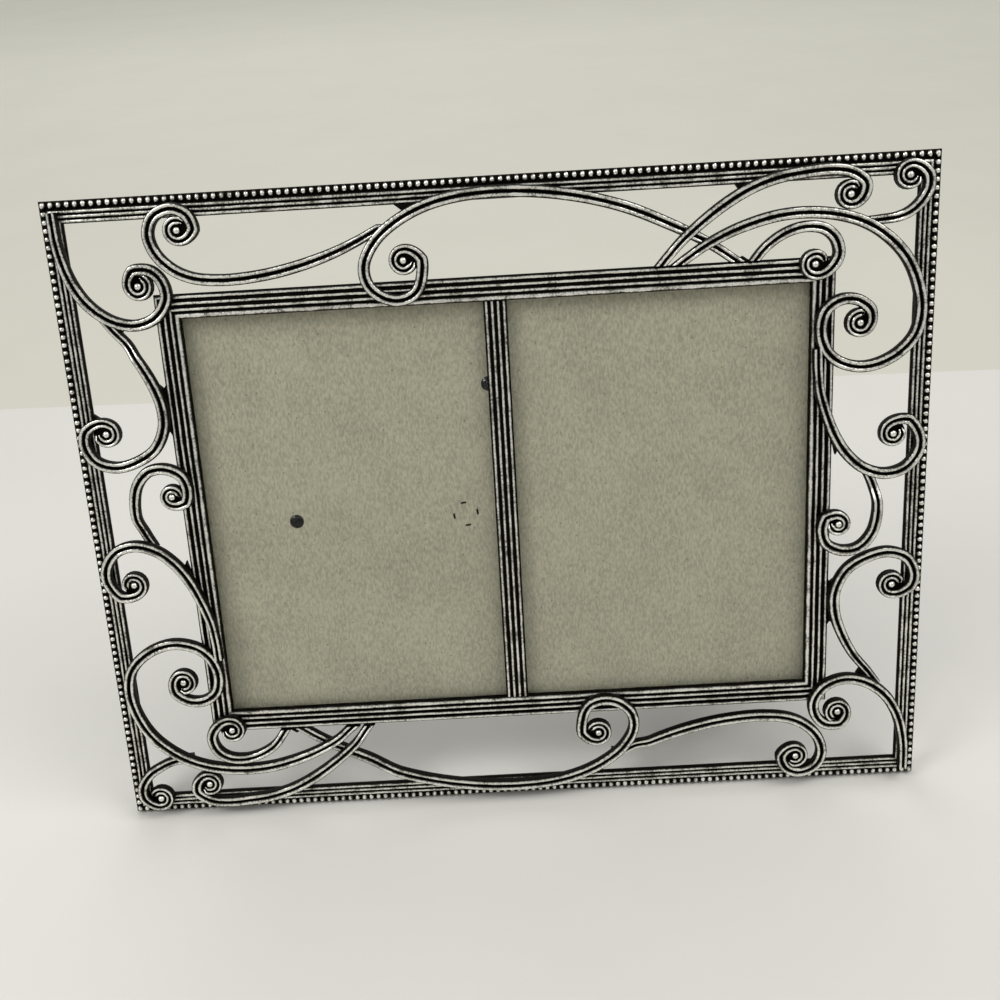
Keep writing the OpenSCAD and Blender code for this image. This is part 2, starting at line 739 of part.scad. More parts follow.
// Where the open leg meets the table, in leg coordinates at the hinge's axis, for the frame
// standing wide and standing tall
leg_slope = cos(leg_open) * cos(lean) / sqrt(2) + sin(leg_open) * sin(lean);
axis_x = on_board(hinge_plate_shares).x + hinge_reach / sqrt(2);
axis_z = on_board(hinge_plate_shares).y - hinge_reach / sqrt(2);
function foot_at(reach, h) =
    ((reach + h * sin(leg_open) / sqrt(2)) * cos(lean)
     + (border_back - axis_y - h * cos(leg_open)) * sin(lean)) / leg_slope;
function foot_wide(t, h = 0) = foot_at(half_h + axis_z - t / sqrt(2), h);
function foot_tall(t, h = 0) = foot_at(half_w - axis_x + t / sqrt(2), h);
tip_t = (foot_tall(0) - foot_wide(0)) / (2 * (foot_wide(1) - foot_wide(0)));

// Everything below the table when the frame stands wide, and when it stands tall
module below_table(half) {
    deep = frame_w;
    rotate([lean, 0, 0])
        translate([-frame_w, -frame_w, -half * cos(lean) - border_back * sin(lean) - deep])
            cube([2 * frame_w, 2 * frame_w, deep]);
}
module easel_leg() {
    start = knuckle_r + run + leg_leaf_l * 0.1;
    near_t = tip_t + foot_w;
    far_t = tip_t - foot_w * 0.85;
    color("saddlebrown")
        difference() {
            leg_place(leg_open)
                difference() {
                    translate([0, 0, leaf_t / 2 + seat])
                        linear_extrude(height = leg_t)
                            polygon([[start, leg_top_w / 2], [start, -leg_top_w / 2],
                                     [foot_tall(far_t) + foot_w / 3, far_t],
                                     [foot_wide(tip_t) + foot_w / 3, tip_t],
                                     [foot_wide(near_t) + foot_w / 3, near_t]]);
                    at_leg_rivets()
                        translate([0, 0, -over])
                            cylinder(r = rivet_r + fit, h = leg_t + leaf_t + 3 * over);
                }
            below_table(half_h);
            rotate([0, -90, 0])
                below_table(half_w);
        }
}

// The stay ribbon from the board to the leg, taut when the leg is open
module stay_ribbon() {
    end = ribbon_reach + ribbon_w / 2;
    rise = axis_y - rail_back;
    inner = leaf_t / 2;
    a = [ribbon_reach, -rise + ribbon_t / 2 + 2 * seat];
    b = ribbon_reach * [cos(leg_open), sin(leg_open)]
        + (inner - ribbon_t / 2) * [-sin(leg_open), cos(leg_open)];
    c = end * [cos(leg_open), sin(leg_open)]
        + (inner - ribbon_t / 2) * [-sin(leg_open), cos(leg_open)];
    d = [end, a.y];
    color("black")
        on_diagonal()
            translate([hinge_reach, 0, axis_y])
                rotate([90, 0, 0])
                    linear_extrude(height = ribbon_w, center = true)
                        polygon(band([d, a, b, c], ribbon_t / 2));
}
// A thin band of the given half thickness round a bent line of points
function bend_side(p, i) =
    let (n = sideways(p, i), t = p[min(i + 1, len(p) - 1)] - p[min(i, len(p) - 2)],
         m = [-t.y, t.x] / norm(t)) n / (n * m);
function band(p, h) =
    concat([for (i = [0 : len(p) - 1]) p[i] + h * bend_side(p, i)],
           [for (i = [len(p) - 1 : -1 : 0]) p[i] - h * bend_side(p, i)]);

// Leans the frame back on its border's lower back edge, with the origin on the table under
// the middle of the space it takes
rear_y = foot_rear_y(leaf_t / 2 + seat + leg_t);
crown_z = max([for (p = top_sweep_shares[0]) on_face(p).y]) + section_shares[4].x * strip / 2;
front_y = (strip_base - strip_t) * cos(lean) - crown_z * sin(lean);
function foot_rear_y(h) =
    let (s = foot_wide(tip_t, h),
         y = axis_y + s * sin(leg_open) + h * cos(leg_open),
         z = axis_z - (tip_t + s * cos(leg_open) - h * sin(leg_open)) / sqrt(2))
    y * cos(lean) + z * sin(lean);
module stand() {
    translate([0, -(rear_y + front_y) / 2, half_h * cos(lean) + border_back * sin(lean)])
        rotate([-lean, 0, 0])
            children();
}

module border_top() { stand() to_top() border_across(); }
module border_bottom() { stand() to_bottom() border_across(); }
module border_left() { stand() to_left() border_upright(); }
module border_right() { stand() to_right() border_upright(); }
module beads_top() { stand() bead_row_across(); }
module beads_bottom() { stand() half_turn() bead_row_across(); }
module beads_left() { stand() half_turn() bead_row_upright(); }
module beads_right() { stand() bead_row_upright(); }
module rail_top() { stand() to_top() rail_across(); }
module rail_bottom() { stand() to_bottom() rail_across(); }
module rail_left() { stand() to_left() rail_upright(); }
module rail_right() { stand() to_right() rail_upright(); }

border_top();
border_bottom();
border_left();
border_right();
beads_top();
beads_bottom();
beads_left();
beads_right();
rail_top();
rail_bottom();
rail_left();
rail_right();
stand() mullion();
stand() top_left();  // scroll_top_left
stand() top_arch();  // scroll_top_arch
stand() top_sweep();  // scroll_top_sweep
stand() corner_hook();  // scroll_corner_hook
stand() corner_curl();  // scroll_corner_curl
stand() corner_tip();  // scroll_corner_tip
stand() right_upper();  // scroll_right_upper
stand() right_middle();  // scroll_right_middle
stand() right_lower();  // scroll_right_lower
stand() right_foot();  // scroll_right_foot
stand() half_turn() top_left();  // scroll_bottom_right
stand() half_turn() top_arch();  // scroll_bottom_arch
stand() half_turn() top_sweep();  // scroll_bottom_sweep
stand() half_turn() corner_hook();  // scroll_low_hook
stand() half_turn() corner_curl();  // scroll_low_curl
stand() half_turn() corner_tip();  // scroll_low_tip
stand() half_turn() right_upper();  // scroll_left_lower
stand() half_turn() right_middle();  // scroll_left_middle
stand() half_turn() right_lower();  // scroll_left_upper
stand() half_turn() right_foot();  // scroll_left_head
stand() pearls();
stand() glass_left();
stand() glass_right();
stand() backing_board();
stand() board_cover();
stand() button_n(0);  // button_top_left
stand() button_n(1);  // button_top_right
stand() button_n(2);  // button_bottom_left
stand() button_n(3);  // button_bottom_right
stand() button_n(4);  // button_left
stand() button_n(5);  // button_right
stand() button_screws();
stand() at_wide_hanger() hanger_rivet();  // rivet_wide
stand() at_wide_hanger() hanger_strap();  // strap_wide
stand() at_wide_hanger() translate([0, loop_y, strap_l]) rotate([lean, 0, 0]) hanger_ring();  // ring_wide
stand() at_tall_hanger() hanger_rivet();  // rivet_tall
stand() at_tall_hanger() hanger_strap();  // strap_tall
stand() at_tall_hanger() translate([0, loop_y, strap_l]) hanger_ring();  // ring_tall
stand() hinge_leaf();
stand() hinge_pin();
stand() leg_leaf();
stand() leg_rivets();
stand() easel_leg();
stand() stay_ribbon();
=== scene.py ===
"""Looks of the double photo frame: reeded and beaded border, scrollwork, windows, board and easel.

Every piece is drawn in millimetres about the middle of the frame's face, as the CAD source draws it,
and is then stood on the table by the same lean. X runs across the face, Y to the back, Z up the face.
"""

import logging
import math
from collections.abc import Callable, Iterable, Sequence
from dataclasses import dataclass, replace
from enum import Enum

import bmesh
import bpy
from bmesh.types import BMEdge, BMFace, BMVert
from bpy.types import NodeSocket
from mathutils import Matrix, Vector
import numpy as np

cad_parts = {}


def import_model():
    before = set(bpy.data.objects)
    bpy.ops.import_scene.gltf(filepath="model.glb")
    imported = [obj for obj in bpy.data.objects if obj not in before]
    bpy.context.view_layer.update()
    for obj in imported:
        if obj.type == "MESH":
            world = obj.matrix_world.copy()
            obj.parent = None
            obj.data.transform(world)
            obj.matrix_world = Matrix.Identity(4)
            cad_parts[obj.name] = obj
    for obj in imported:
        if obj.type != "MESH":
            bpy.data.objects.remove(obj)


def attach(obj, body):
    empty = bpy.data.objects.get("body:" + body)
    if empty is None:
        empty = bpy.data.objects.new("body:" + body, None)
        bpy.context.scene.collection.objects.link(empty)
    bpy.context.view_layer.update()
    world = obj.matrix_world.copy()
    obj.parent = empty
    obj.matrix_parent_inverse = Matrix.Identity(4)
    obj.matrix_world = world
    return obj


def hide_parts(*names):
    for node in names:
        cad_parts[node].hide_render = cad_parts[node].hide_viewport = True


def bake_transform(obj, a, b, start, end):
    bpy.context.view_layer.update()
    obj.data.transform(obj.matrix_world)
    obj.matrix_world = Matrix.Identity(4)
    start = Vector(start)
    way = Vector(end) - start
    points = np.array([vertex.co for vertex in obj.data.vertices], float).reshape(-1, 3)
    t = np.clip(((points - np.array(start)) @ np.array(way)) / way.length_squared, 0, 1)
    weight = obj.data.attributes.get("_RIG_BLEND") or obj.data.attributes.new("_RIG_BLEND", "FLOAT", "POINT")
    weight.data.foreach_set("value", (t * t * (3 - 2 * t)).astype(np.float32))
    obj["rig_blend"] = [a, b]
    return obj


LOG = logging.getLogger("photo_frame")
MM = 0.001
HALF_TURN = Matrix.Rotation(math.pi, 4, "Y")
TO_FRONT = Matrix.Rotation(math.pi / 2, 4, "X")
TO_BACK = Matrix.Rotation(-math.pi / 2, 4, "X")

Pair = tuple[float, float]
Triple = tuple[float, float, float]


def lift(height: float) -> Matrix:
    """A move along Z."""
    return Matrix.Translation((0.0, 0.0, height))


def turned(degrees: float, axis: str) -> Matrix:
    """A turn about an axis."""
    return Matrix.Rotation(math.radians(degrees), 4, axis)


def stretched_about(centre: Sequence[float], scale: Triple) -> Matrix:
    """A stretch along X, Y and Z that keeps one point in its place."""
    place = Matrix.Translation(centre)
    return place @ Matrix.Diagonal((*scale, 1.0)) @ place.inverted()


def only(items: Iterable[object], kind: type) -> list:
    """The items of one kind in an operator's result."""
    return [item for item in items if isinstance(item, kind)]


def edges_of(verts: Iterable[BMVert]) -> list[BMEdge]:
    """All edges that meet some vertices."""
    return list(dict.fromkeys(edge for vert in verts for edge in vert.link_edges))


def faces_of(verts: Iterable[BMVert]) -> list[BMFace]:
    """All faces that meet some vertices."""
    return list(dict.fromkeys(face for vert in verts for face in vert.link_faces))


class Side(Enum):
    """The four sides of the face, with the turn about Y that brings the top side there."""

    TOP = 0.0
    RIGHT = 90.0
    BOTTOM = 180.0
    LEFT = -90.0

    def turn(self) -> Matrix:
        """Rotation of this side in the face's plane."""
        return turned(self.value, "Y")

    @property
    def word(self) -> str:
        """The side's name in piece names."""
        return self.name.lower()


@dataclass(frozen=True)
class Sizes:
    """Sizes of the frame in millimetres, the same as the CAD source's."""

    frame_w: float = 348.0
    frame_h: float = 266.0
    border_w: float = 8.8
    border_back: float = 4.0
    border_web: float = 0.8
    lean: float = 15.0
    window_w: float = 119.8
    window_h: float = 170.6
    rail_w: float = 9.8
    rim_w: float = 1.5
    mullion_w: float = 9.4
    lip_w: float = 3.6
    lip_back: float = 1.0
    reed_rise: float = 2.0
    rail_reed_r: float = 0.75
    border_reed_r: float = 0.75
    reed_floor: float = 1.7
    bead_r: float = 1.55
    bead_pitch: float = 3.17
    bead_band: float = 3.4
    bead_sunk: float = 0.3
    strip_w: float = 4.8
    tail_w: float = 3.9
    eye_w: float = 3.3
    strip_t: float = 3.5
    pearl_r: float = 1.45
    glass_t: float = 1.6
    print_room: float = 1.6
    board_t: float = 2.2
    cover_t: float = 0.4
    pocket_gap: float = 0.4
    seat: float = 0.02
    run: float = 0.35

    @property
    def half_w(self) -> float:
        """Half the frame's width."""
        return self.frame_w / 2

    @property
    def half_h(self) -> float:
        """Half the frame's height."""
        return self.frame_h / 2

    @property
    def band_x(self) -> float:
        """Inner edge of the border, from the middle across."""
        return self.half_w - self.border_w

    @property
    def band_z(self) -> float:
        """Inner edge of the border, from the middle up."""
        return self.half_h - self.border_w

    @property
    def rail_in_x(self) -> float:
        """Inner edge of the upright rails."""
        return self.window_w + self.mullion_w / 2

    @property
    def rail_in_z(self) -> float:
        """Inner edge of the rails above and below."""
        return self.window_h / 2

    @property
    def rail_x(self) -> float:
        """Outer edge of the upright rails."""
        return self.rail_in_x + self.rail_w

    @property
    def rail_z(self) -> float:
        """Outer edge of the rails above and below."""
        return self.rail_in_z + self.rail_w

    @property
    def ledge(self) -> float:
        """Depth of the border's ledge under the beads."""
        return self.bead_r * self.bead_sunk

    @property
    def board_front(self) -> float:
        """Depth of the board's front."""
        return self.lip_back + self.glass_t + self.print_room

    @property
    def rail_back(self) -> float:
        """Depth of the rails' back and of the board's cover."""
        return self.board_front + self.board_t + self.cover_t

    def on_board(self, x: float, z: float) -> Pair:
        """Millimetres on the face of a place given in shares of half the board's size."""
        spare = self.lip_w - self.pocket_gap
        return x * (self.rail_in_x + spare), z * (self.rail_in_z + spare)


SIZES = Sizes()


@dataclass(frozen=True)
class Stance:
    """How the face stands on the table: its lean and the place of its middle, in millimetres."""

    lean: float = SIZES.lean
    middle: Triple = (0.0, -31.3768, 129.5034)

    def matrix(self) -> Matrix:
        """Face millimetres to the row's metres."""
        return Matrix.Scale(MM, 4) @ Matrix.Translation(self.middle) @ turned(-self.lean, "X")


STANCE = Stance()


def smooth_step(value: float) -> float:
    """Smooth rise from 0 to 1 for a value from 0 to 1."""
    clamped = min(max(value, 0.0), 1.0)
    return clamped * clamped * (3 - 2 * clamped)


def drift(seed: float, at: float, wavelength: float) -> float:
    """Slow hand-made waviness along a piece, from -1 to 1, the same on each run."""
    phase = at / wavelength
    return 0.5 * math.sin(phase * 6.28 + seed * 1.7) + 0.5 * math.sin(phase * 14.9 + seed * 4.3)


class Shape:
    """A piece's mesh while it is being modelled, in face millimetres, with its rubbing and painted light
    painted on.
    """

    def __init__(self) -> None:
        """Start an empty mesh with a layer of rubbing and painted light: 1 on rubbed crests, painted as a
        highlight where they face the front; 0 in hollows and on flanks, dark patina and painted shade.
        """
        self.bm = bmesh.new()
        self.wear = self.bm.verts.layers.float.new("wear")

    def paint(self, verts: Iterable[BMVert], wear: float | Callable[[Vector], float]) -> None:
        """Paint rubbing and painted light on vertices.

        Args:
            verts: the vertices.
            wear: one value, or a function of the place.
        """
        for vert in verts:
            vert[self.wear] = wear(vert.co) if callable(wear) else wear

    def move(self, verts: Iterable[BMVert], matrix: Matrix) -> None:
        """Transform some vertices."""
        bmesh.ops.transform(self.bm, matrix=matrix, verts=list(verts))

    def box(
        self,
        low: Sequence[float],
        high: Sequence[float],
        wear: float = 0.0,
        bevel: float = 0.0,
        matrix: Matrix = Matrix(),
    ) -> list[BMVert]:
        """Add a box with bevelled edges.

        Args:
            low: lowest corner.
            high: highest corner.
            wear: rubbing and painted light put on it.
            bevel: width of the rounded edges, 0 for none.
            matrix: its place, applied last.

        Returns:
            Its vertices.
        """
        size = [b - a for a, b in zip(low, high)]
        centre = [(a + b) / 2 for a, b in zip(low, high)]
        place = Matrix.Translation(centre) @ Matrix.Diagonal((*size, 1.0))
        made = bmesh.ops.create_cube(self.bm, size=1.0, matrix=place)["verts"]
        if bevel > 0:
            made = self.round_edges(edges_of(made), bevel)
        self.paint(made, wear)
        self.move(made, matrix)
        return made

    def round_edges(
        self, edges: list[BMEdge], width: float, segments: int = 2
    ) -> list[BMVert]:
        """Round edges of one closed form.

        Args:
            edges: the edges to round.
            width: width of the bevel.
            segments: steps in the round.

        Returns:
            The form's vertices after the bevel.
        """
        made = bmesh.ops.bevel(
            self.bm,
            geom=edges,
            offset=width,
            offset_type="OFFSET",
            segments=segments,
            profile=0.5,
            affect="EDGES",
            material=-1,
            clamp_overlap=True,
        )["verts"]
        return list(self.connected(made))

    def connected(self, seeds: Iterable[BMVert]) -> set[BMVert]:
        """All vertices joined by edges to the given ones."""
        found = {vert for vert in seeds if vert.is_valid}
        front = list(found)
        while front:
            vert = front.pop()
            for edge in vert.link_edges:
                other = edge.other_vert(vert)
                if other not in found:
                    found.add(other)
                    front.append(other)
        return found

    def cut_across(self, verts: Iterable[BMVert], cuts: int) -> list[BMVert]:
        """Cut rings across the long edges that run along Z."""
        own = set(verts)
        longest = max(
            edge.calc_length() for vert in own for edge in vert.link_edges if edge.other_vert(vert) in own
        )
        edges = {
            edge
            for vert in own
            for edge in vert.link_edges
            if abs(edge.verts[0].co.z - edge.verts[1].co.z) > longest * 0.8
        }
        made = bmesh.ops.subdivide_edges(self.bm, edges=list(edges), cuts=cuts, use_grid_fill=True)
        return list(self.connected(only(made["geom"], BMVert)))

    def rod(
        self,
        radius: float,
        start: Sequence[float],
        end: Sequence[float],
        segments: int = 16,
        wear: float = 0.5,
        bevel: float = 0.0,
        loops: int = 0,
        matrix: Matrix = Matrix(),
    ) -> list[BMVert]:
        """Add a round rod between two points.

        Args:
            radius: its radius.
            start: one end.
            end: the other end.
            segments: sides round it.
            wear: rubbing and painted light put on it.
            bevel: width of the rounding at its ends, 0 for none.
            loops: rings cut across it.
            matrix: its place, applied last.

        Returns:
            Its vertices.
        """
        line = Vector(end) - Vector(start)
        made = bmesh.ops.create_cone(
            self.bm,
            cap_ends=True,
            cap_tris=False,
            segments=segments,
            radius1=radius,
            radius2=radius,
            depth=line.length,
        )["verts"]
        if bevel > 0:
            rims = [edge for edge in edges_of(made) if abs(edge.verts[0].co.z - edge.verts[1].co.z) < 1e-5]
            made = self.round_edges(rims, bevel, 3)
        if loops:
            made = self.cut_across(made, loops)
        turn = line.to_track_quat("Z", "Y").to_matrix().to_4x4()
        self.paint(made, wear)
        self.move(made, matrix @ Matrix.Translation((Vector(start) + Vector(end)) / 2) @ turn)
        return made

    def ball(
        self, radius: float, centre: Sequence[float], around: int = 16, down: int = 10, wear: float = 0.5
    ) -> list[BMVert]:
        """Add a ball with its poles to the front and the back."""
        place = Matrix.Translation(centre) @ TO_FRONT
        made = bmesh.ops.create_uvsphere(
            self.bm, u_segments=around, v_segments=down, radius=radius, matrix=place
        )["verts"]
        self.paint(made, wear)
        return made

    def line(self, points: Iterable[Sequence[float]], closed: bool = False) -> list[BMVert]:
        """A few vertices joined by edges, to extrude or spin."""
        verts = [self.bm.verts.new(point) for point in points]
        for a, b in zip(verts, verts[1:]):
            self.bm.edges.new((a, b))
        if closed:
            self.bm.edges.new((verts[-1], verts[0]))
        return verts

    def lathe(
        self,
        profile: Iterable[Pair],
        matrix: Matrix = Matrix(),
        steps: int = 24,
        wear: float | Callable[[Vector], float] = 0.5,
    ) -> list[BMVert]:
        """Spin a profile about Z.

        Args:
            profile: points as (radius, height).
            matrix: its place, applied last.
            steps: steps round the axis.
            wear: rubbing and painted light put on it before it is placed.

        Returns:
            Its vertices.
        """
        verts = self.line([(radius, 0.0, height) for radius, height in profile])
        bmesh.ops.spin(
            self.bm,
            geom=verts + edges_of(verts),
            cent=(0, 0, 0),
            axis=(0, 0, 1),
            angle=math.tau,
            steps=steps,
            use_merge=True,
        )
        made = list(self.connected(verts))
        bmesh.ops.remove_doubles(self.bm, verts=made, dist=1e-4)
        made = list(self.connected(vert for vert in verts if vert.is_valid))
        self.paint(made, wear)
        self.move(made, matrix)
        return made

    def slice(
        self, verts: Iterable[BMVert], point: Sequence[float], normal: Sequence[float]
    ) -> list[BMVert]:
        """Cut some of the mesh by a plane, clear what the normal points to, and close the cut.

        Args:
            verts: the vertices of the closed forms to cut.
            point: a point of the plane.
            normal: direction of the side to clear.

        Returns:
            The vertices that are left.
        """
        own = list(verts)
        cut = bmesh.ops.bisect_plane(
            self.bm,
            geom=own + edges_of(own) + faces_of(own),
            dist=1e-4,
            plane_co=point,
            plane_no=normal,
            clear_outer=True,
        )["geom_cut"]
        rims = [edge for edge in only(cut, BMEdge) if edge.is_boundary]
        bmesh.ops.holes_fill(self.bm, edges=rims, sides=0)
        return list(self.connected([vert for vert in own if vert.is_valid] + only(cut, BMVert)))

    def copy(self, verts: Iterable[BMVert], matrix: Matrix) -> list[BMVert]:
        """Repeat some closed forms at another place and return the new vertices."""
        own = list(verts)
        made = bmesh.ops.duplicate(self.bm, geom=own + edges_of(own) + faces_of(own))["geom"]
        new = only(made, BMVert)
        self.move(new, matrix)
        return new

    def place(self, matrix: Matrix) -> None:
        """Transform the whole shape."""
        self.move(self.bm.verts, matrix)

    def fill_in(self, verts: Iterable[BMVert]) -> list[BMFace]:
        """Fill the outline that some vertices make."""
        return bmesh.ops.contextual_create(self.bm, geom=edges_of(verts))["faces"]

    def pull(self, faces: list[BMFace], matrix: Matrix) -> list:
        """Extrude faces and move what is new.

        Args:
            faces: the faces to extrude.
            matrix: the move of the new vertices.

        Returns:
            The new vertices, edges and faces.
        """
        made = bmesh.ops.extrude_face_region(self.bm, geom=faces)["geom"]
        self.move(only(made, BMVert), matrix)
        return made

    def draw_on(self, edges: list[BMEdge], matrix: Matrix) -> list[BMEdge]:
        """Extrude edges and move the new ones.

        Args:
            edges: the edges at the end of the sheet or strip.
            matrix: the move from this end to the next.

        Returns:
            The edges at the new end.
        """
        made = bmesh.ops.extrude_edge_only(self.bm, edges=edges)["geom"]
        new = set(only(made, BMVert))
        self.move(new, matrix)
        return [edge for edge in only(made, BMEdge) if new.issuperset(edge.verts)]

    def half_turned(self) -> "Shape":
        """A copy of the whole shape, half a turn round the middle of the face."""
        twin = Shape.__new__(Shape)
        twin.bm = self.bm.copy()
        twin.wear = twin.bm.verts.layers.float["wear"]
        twin.place(HALF_TURN)
        return twin

    def finish(self, sharp: float = 38.0) -> bpy.types.Mesh:
        """Point the faces outwards, mark the sharp edges and stand the mesh on the table.

        Args:
            sharp: angle in degrees past which an edge is sharp.

        Returns:
            The finished mesh.
        """
        bmesh.ops.recalc_face_normals(self.bm, faces=self.bm.faces)
        self.place(STANCE.matrix())
        limit = math.radians(sharp)
        for edge in self.bm.edges:
            edge.smooth = len(edge.link_faces) == 2 and edge.calc_face_angle(0.0) < limit
        for face in self.bm.faces:
            face.smooth = True
        mesh = bpy.data.meshes.new("mesh")
        self.bm.to_mesh(mesh)
        self.bm.free()
        return mesh


class Finish(Enum):
    """Material slots of the record that the pieces take their finish from."""

    PEWTER = "pewter"
    GLASS = "clear_glass"
    GREYBOARD = "greyboard"
    COVER = "cover_paper"
    LEG = "leg_board"
    HARDWARE = "hardware"
    RIVET = "black_rivet"
    RIBBON = "ribbon"


class Paint:
    """A material's node tree, with short ways to add its noise, ramps and bumps."""

    def __init__(self, name: str, **sockets: float | tuple[float, ...]) -> None:
        """Start a material and set uniform values on its shader.

        Args:
            name: the material's name.
            sockets: values of the shader's sockets, with spaces as underscores.
        """
        self.material = bpy.data.materials.new(name)
        self.material.use_nodes = True
        self.tree = self.material.node_tree
        self.shader = self.tree.nodes["Principled BSDF"]
        for socket, value in sockets.items():
            self.shader.inputs[socket.replace("_", " ")].default_value = value
        self.coords = self.tree.nodes.new("ShaderNodeTexCoord").outputs["Object"]

    def link(self, output: NodeSocket, node: bpy.types.Node, socket: str | int) -> None:
        """Join an output to a node's socket."""
        self.tree.links.new(output, node.inputs[socket])

    def shade(self, output: NodeSocket, socket: str) -> None:
        """Join an output to the shader."""
        self.link(output, self.shader, socket)

    def attribute(self, name: str) -> NodeSocket:
        """A value painted on the piece."""
        node = self.tree.nodes.new("ShaderNodeAttribute")
        node.attribute_name = name
        return node.outputs["Fac"]

    def stretched(self, scale: Triple, turn: Triple) -> NodeSocket:
        """Object coordinates stretched along the piece's own ways."""
        node = self.tree.nodes.new("ShaderNodeMapping")
        node.inputs["Scale"].default_value = scale
        node.inputs["Rotation"].default_value = turn
        self.link(self.coords, node, "Vector")
        return node.outputs["Vector"]

    def noise(
        self, size: float, detail: float = 3.0, rough: float = 0.55, coords: NodeSocket | None = None
    ) -> NodeSocket:
        """Noise with spots of about the given size in millimetres."""
        node = self.tree.nodes.new("ShaderNodeTexNoise")
        node.inputs["Scale"].default_value = 1.0 / (size * MM)
        node.inputs["Detail"].default_value = detail
        node.inputs["Roughness"].default_value = rough
        self.link(coords or self.coords, node, "Vector")
        return node.outputs["Fac"]

    def cells(self, size: float) -> NodeSocket:
        """Distance to the nearest of scattered points, with cells of the given size in millimetres."""
        node = self.tree.nodes.new("ShaderNodeTexVoronoi")
        node.inputs["Scale"].default_value = 1.0 / (size * MM)
        self.link(self.coords, node, "Vector")
        return node.outputs["Distance"]

    def maths(
        self, operation: str, a: NodeSocket | float, b: NodeSocket | float, clamp: bool = False
    ) -> NodeSocket:
        """One sum of two varying values."""
        node = self.tree.nodes.new("ShaderNodeMath")
        node.operation = operation
        node.use_clamp = clamp
        for index, value in enumerate((a, b)):
            if isinstance(value, NodeSocket):
                self.link(value, node, index)
            else:
                node.inputs[index].default_value = value
        return node.outputs[0]

    def spread(
        self, value: NodeSocket, low: float, high: float, to_low: float, to_high: float
    ) -> NodeSocket:
        """Stretch a value from one range to another."""
        node = self.tree.nodes.new("ShaderNodeMapRange")
        self.link(value, node, "Value")
        sockets = ("From Min", "From Max", "To Min", "To Max")
        for socket, number in zip(sockets, (low, high, to_low, to_high)):
            node.inputs[socket].default_value = number
        return node.outputs["Result"]

    def ramp(
        self, value: NodeSocket, stops: Sequence[tuple[float, Triple]]
    ) -> NodeSocket:
        """Colours along a value.

        Args:
            value: the value from 0 to 1.
            stops: each stop's place and linear colour.

        Returns:
            The colour.
        """
        node = self.tree.nodes.new("ShaderNodeValToRGB")
        self.link(value, node, "Fac")
        elements = node.color_ramp.elements
        while len(elements) < len(stops):
            elements.new(0.5)
        for element, (place, colour) in zip(elements, stops):
            element.position = place
            element.color = (*colour, 1.0)
        return node.outputs["Color"]

    def mix(
        self,
        share: NodeSocket,
        a: NodeSocket | Triple,
        b: NodeSocket | Triple,
        blend: str = "MIX",
    ) -> NodeSocket:
        """Mix two colours by a varying share."""
        node = self.tree.nodes.new("ShaderNodeMix")
        node.data_type = "RGBA"
        node.blend_type = blend
        self.link(share, node, 0)
        for index, value in ((6, a), (7, b)):
            if isinstance(value, NodeSocket):
                self.link(value, node, index)
            else:
                node.inputs[index].default_value = (*value, 1.0)
        return node.outputs[2]

    def bump(self, height: NodeSocket, depth: float) -> None:
        """Raise the surface by a height in millimetres where the value is 1."""
        node = self.tree.nodes.new("ShaderNodeBump")
        node.inputs["Strength"].default_value = 1.0
        node.inputs["Distance"].default_value = depth * MM
        self.link(height, node, "Height")
        self.shade(node.outputs["Normal"], "Normal")


@dataclass(frozen=True)
class OldSilver:
    """Cast metal, bright on its crests and near-black in its hollows and on its flanks: rubbed crests and
    warm patina, together with a painted highlight on the front-facing crests and painted shade on the
    flanks.
    """

    bright: Triple = (0.88, 0.865, 0.80)
    dull: Triple = (0.19, 0.18, 0.155)
    dark: Triple = (0.010, 0.008, 0.006)
    tarnished: Triple = (0.30, 0.27, 0.22)
    dark_to: float = 0.63
    dull_at: float = 0.825
    bright_from: float = 0.96

    def make(self) -> bpy.types.Material:
        """Build the material."""
        paint = Paint("old_silver", Metallic=1.0)
        # The painted layer holds the rubbing of the crests and the patina in the hollows, and with them a
        # painted highlight where crests face the front and painted shade on the flanks; the ramp below turns
        # it into colour.
        wear = paint.attribute("wear")
        patches = paint.spread(paint.noise(6.0, 3.0), 0.3, 0.7, -0.09, 0.09)
        grain = paint.spread(paint.noise(0.7, 3.0), 0.3, 0.7, -0.11, 0.11)
        rubbed = paint.maths("ADD", paint.maths("ADD", wear, patches), grain, clamp=True)
        colour = paint.ramp(
            rubbed,
            [
                (0.0, self.dark),
                (self.dark_to, self.dark),
                (self.dull_at, self.dull),
                (self.bright_from, self.bright),
                (1.0, self.bright),
            ],
        )
        tarnish = paint.spread(paint.noise(11.0, 4.0), 0.52, 0.72, 0.0, 0.4)
        paint.shade(paint.mix(tarnish, colour, self.tarnished, "MULTIPLY"), "Base Color")
        rough = paint.spread(rubbed, 0.35, 0.85, 0.62, 0.30)
        smears = paint.spread(paint.noise(2.4, 4.0), 0.3, 0.7, -0.06, 0.1)
        paint.shade(paint.maths("ADD", rough, smears, clamp=True), "Roughness")
        paint.bump(paint.noise(0.45, 3.0, 0.6), 0.05)
        return paint.material


@dataclass(frozen=True)
class WindowGlass:
    """Clear window glass with a faint green cast and a little dust.

    Its index is lower than real glass has, so that its reflection veils the board less.
    """

    tint: tuple[float, float, float, float] = (0.975, 0.985, 0.965, 1.0)
    index: float = 1.18

    def make(self) -> bpy.types.Material:
        """Build the material."""
        paint = Paint(
            "window_glass",
            Base_Color=self.tint,
            IOR=self.index,
            Transmission_Weight=1.0,
            Specular_IOR_Level=0.3,
        )
        dust = paint.spread(paint.noise(9.0, 5.0), 0.4, 0.75, 0.0, 0.008)
        paint.shade(dust, "Roughness")
        return paint.material


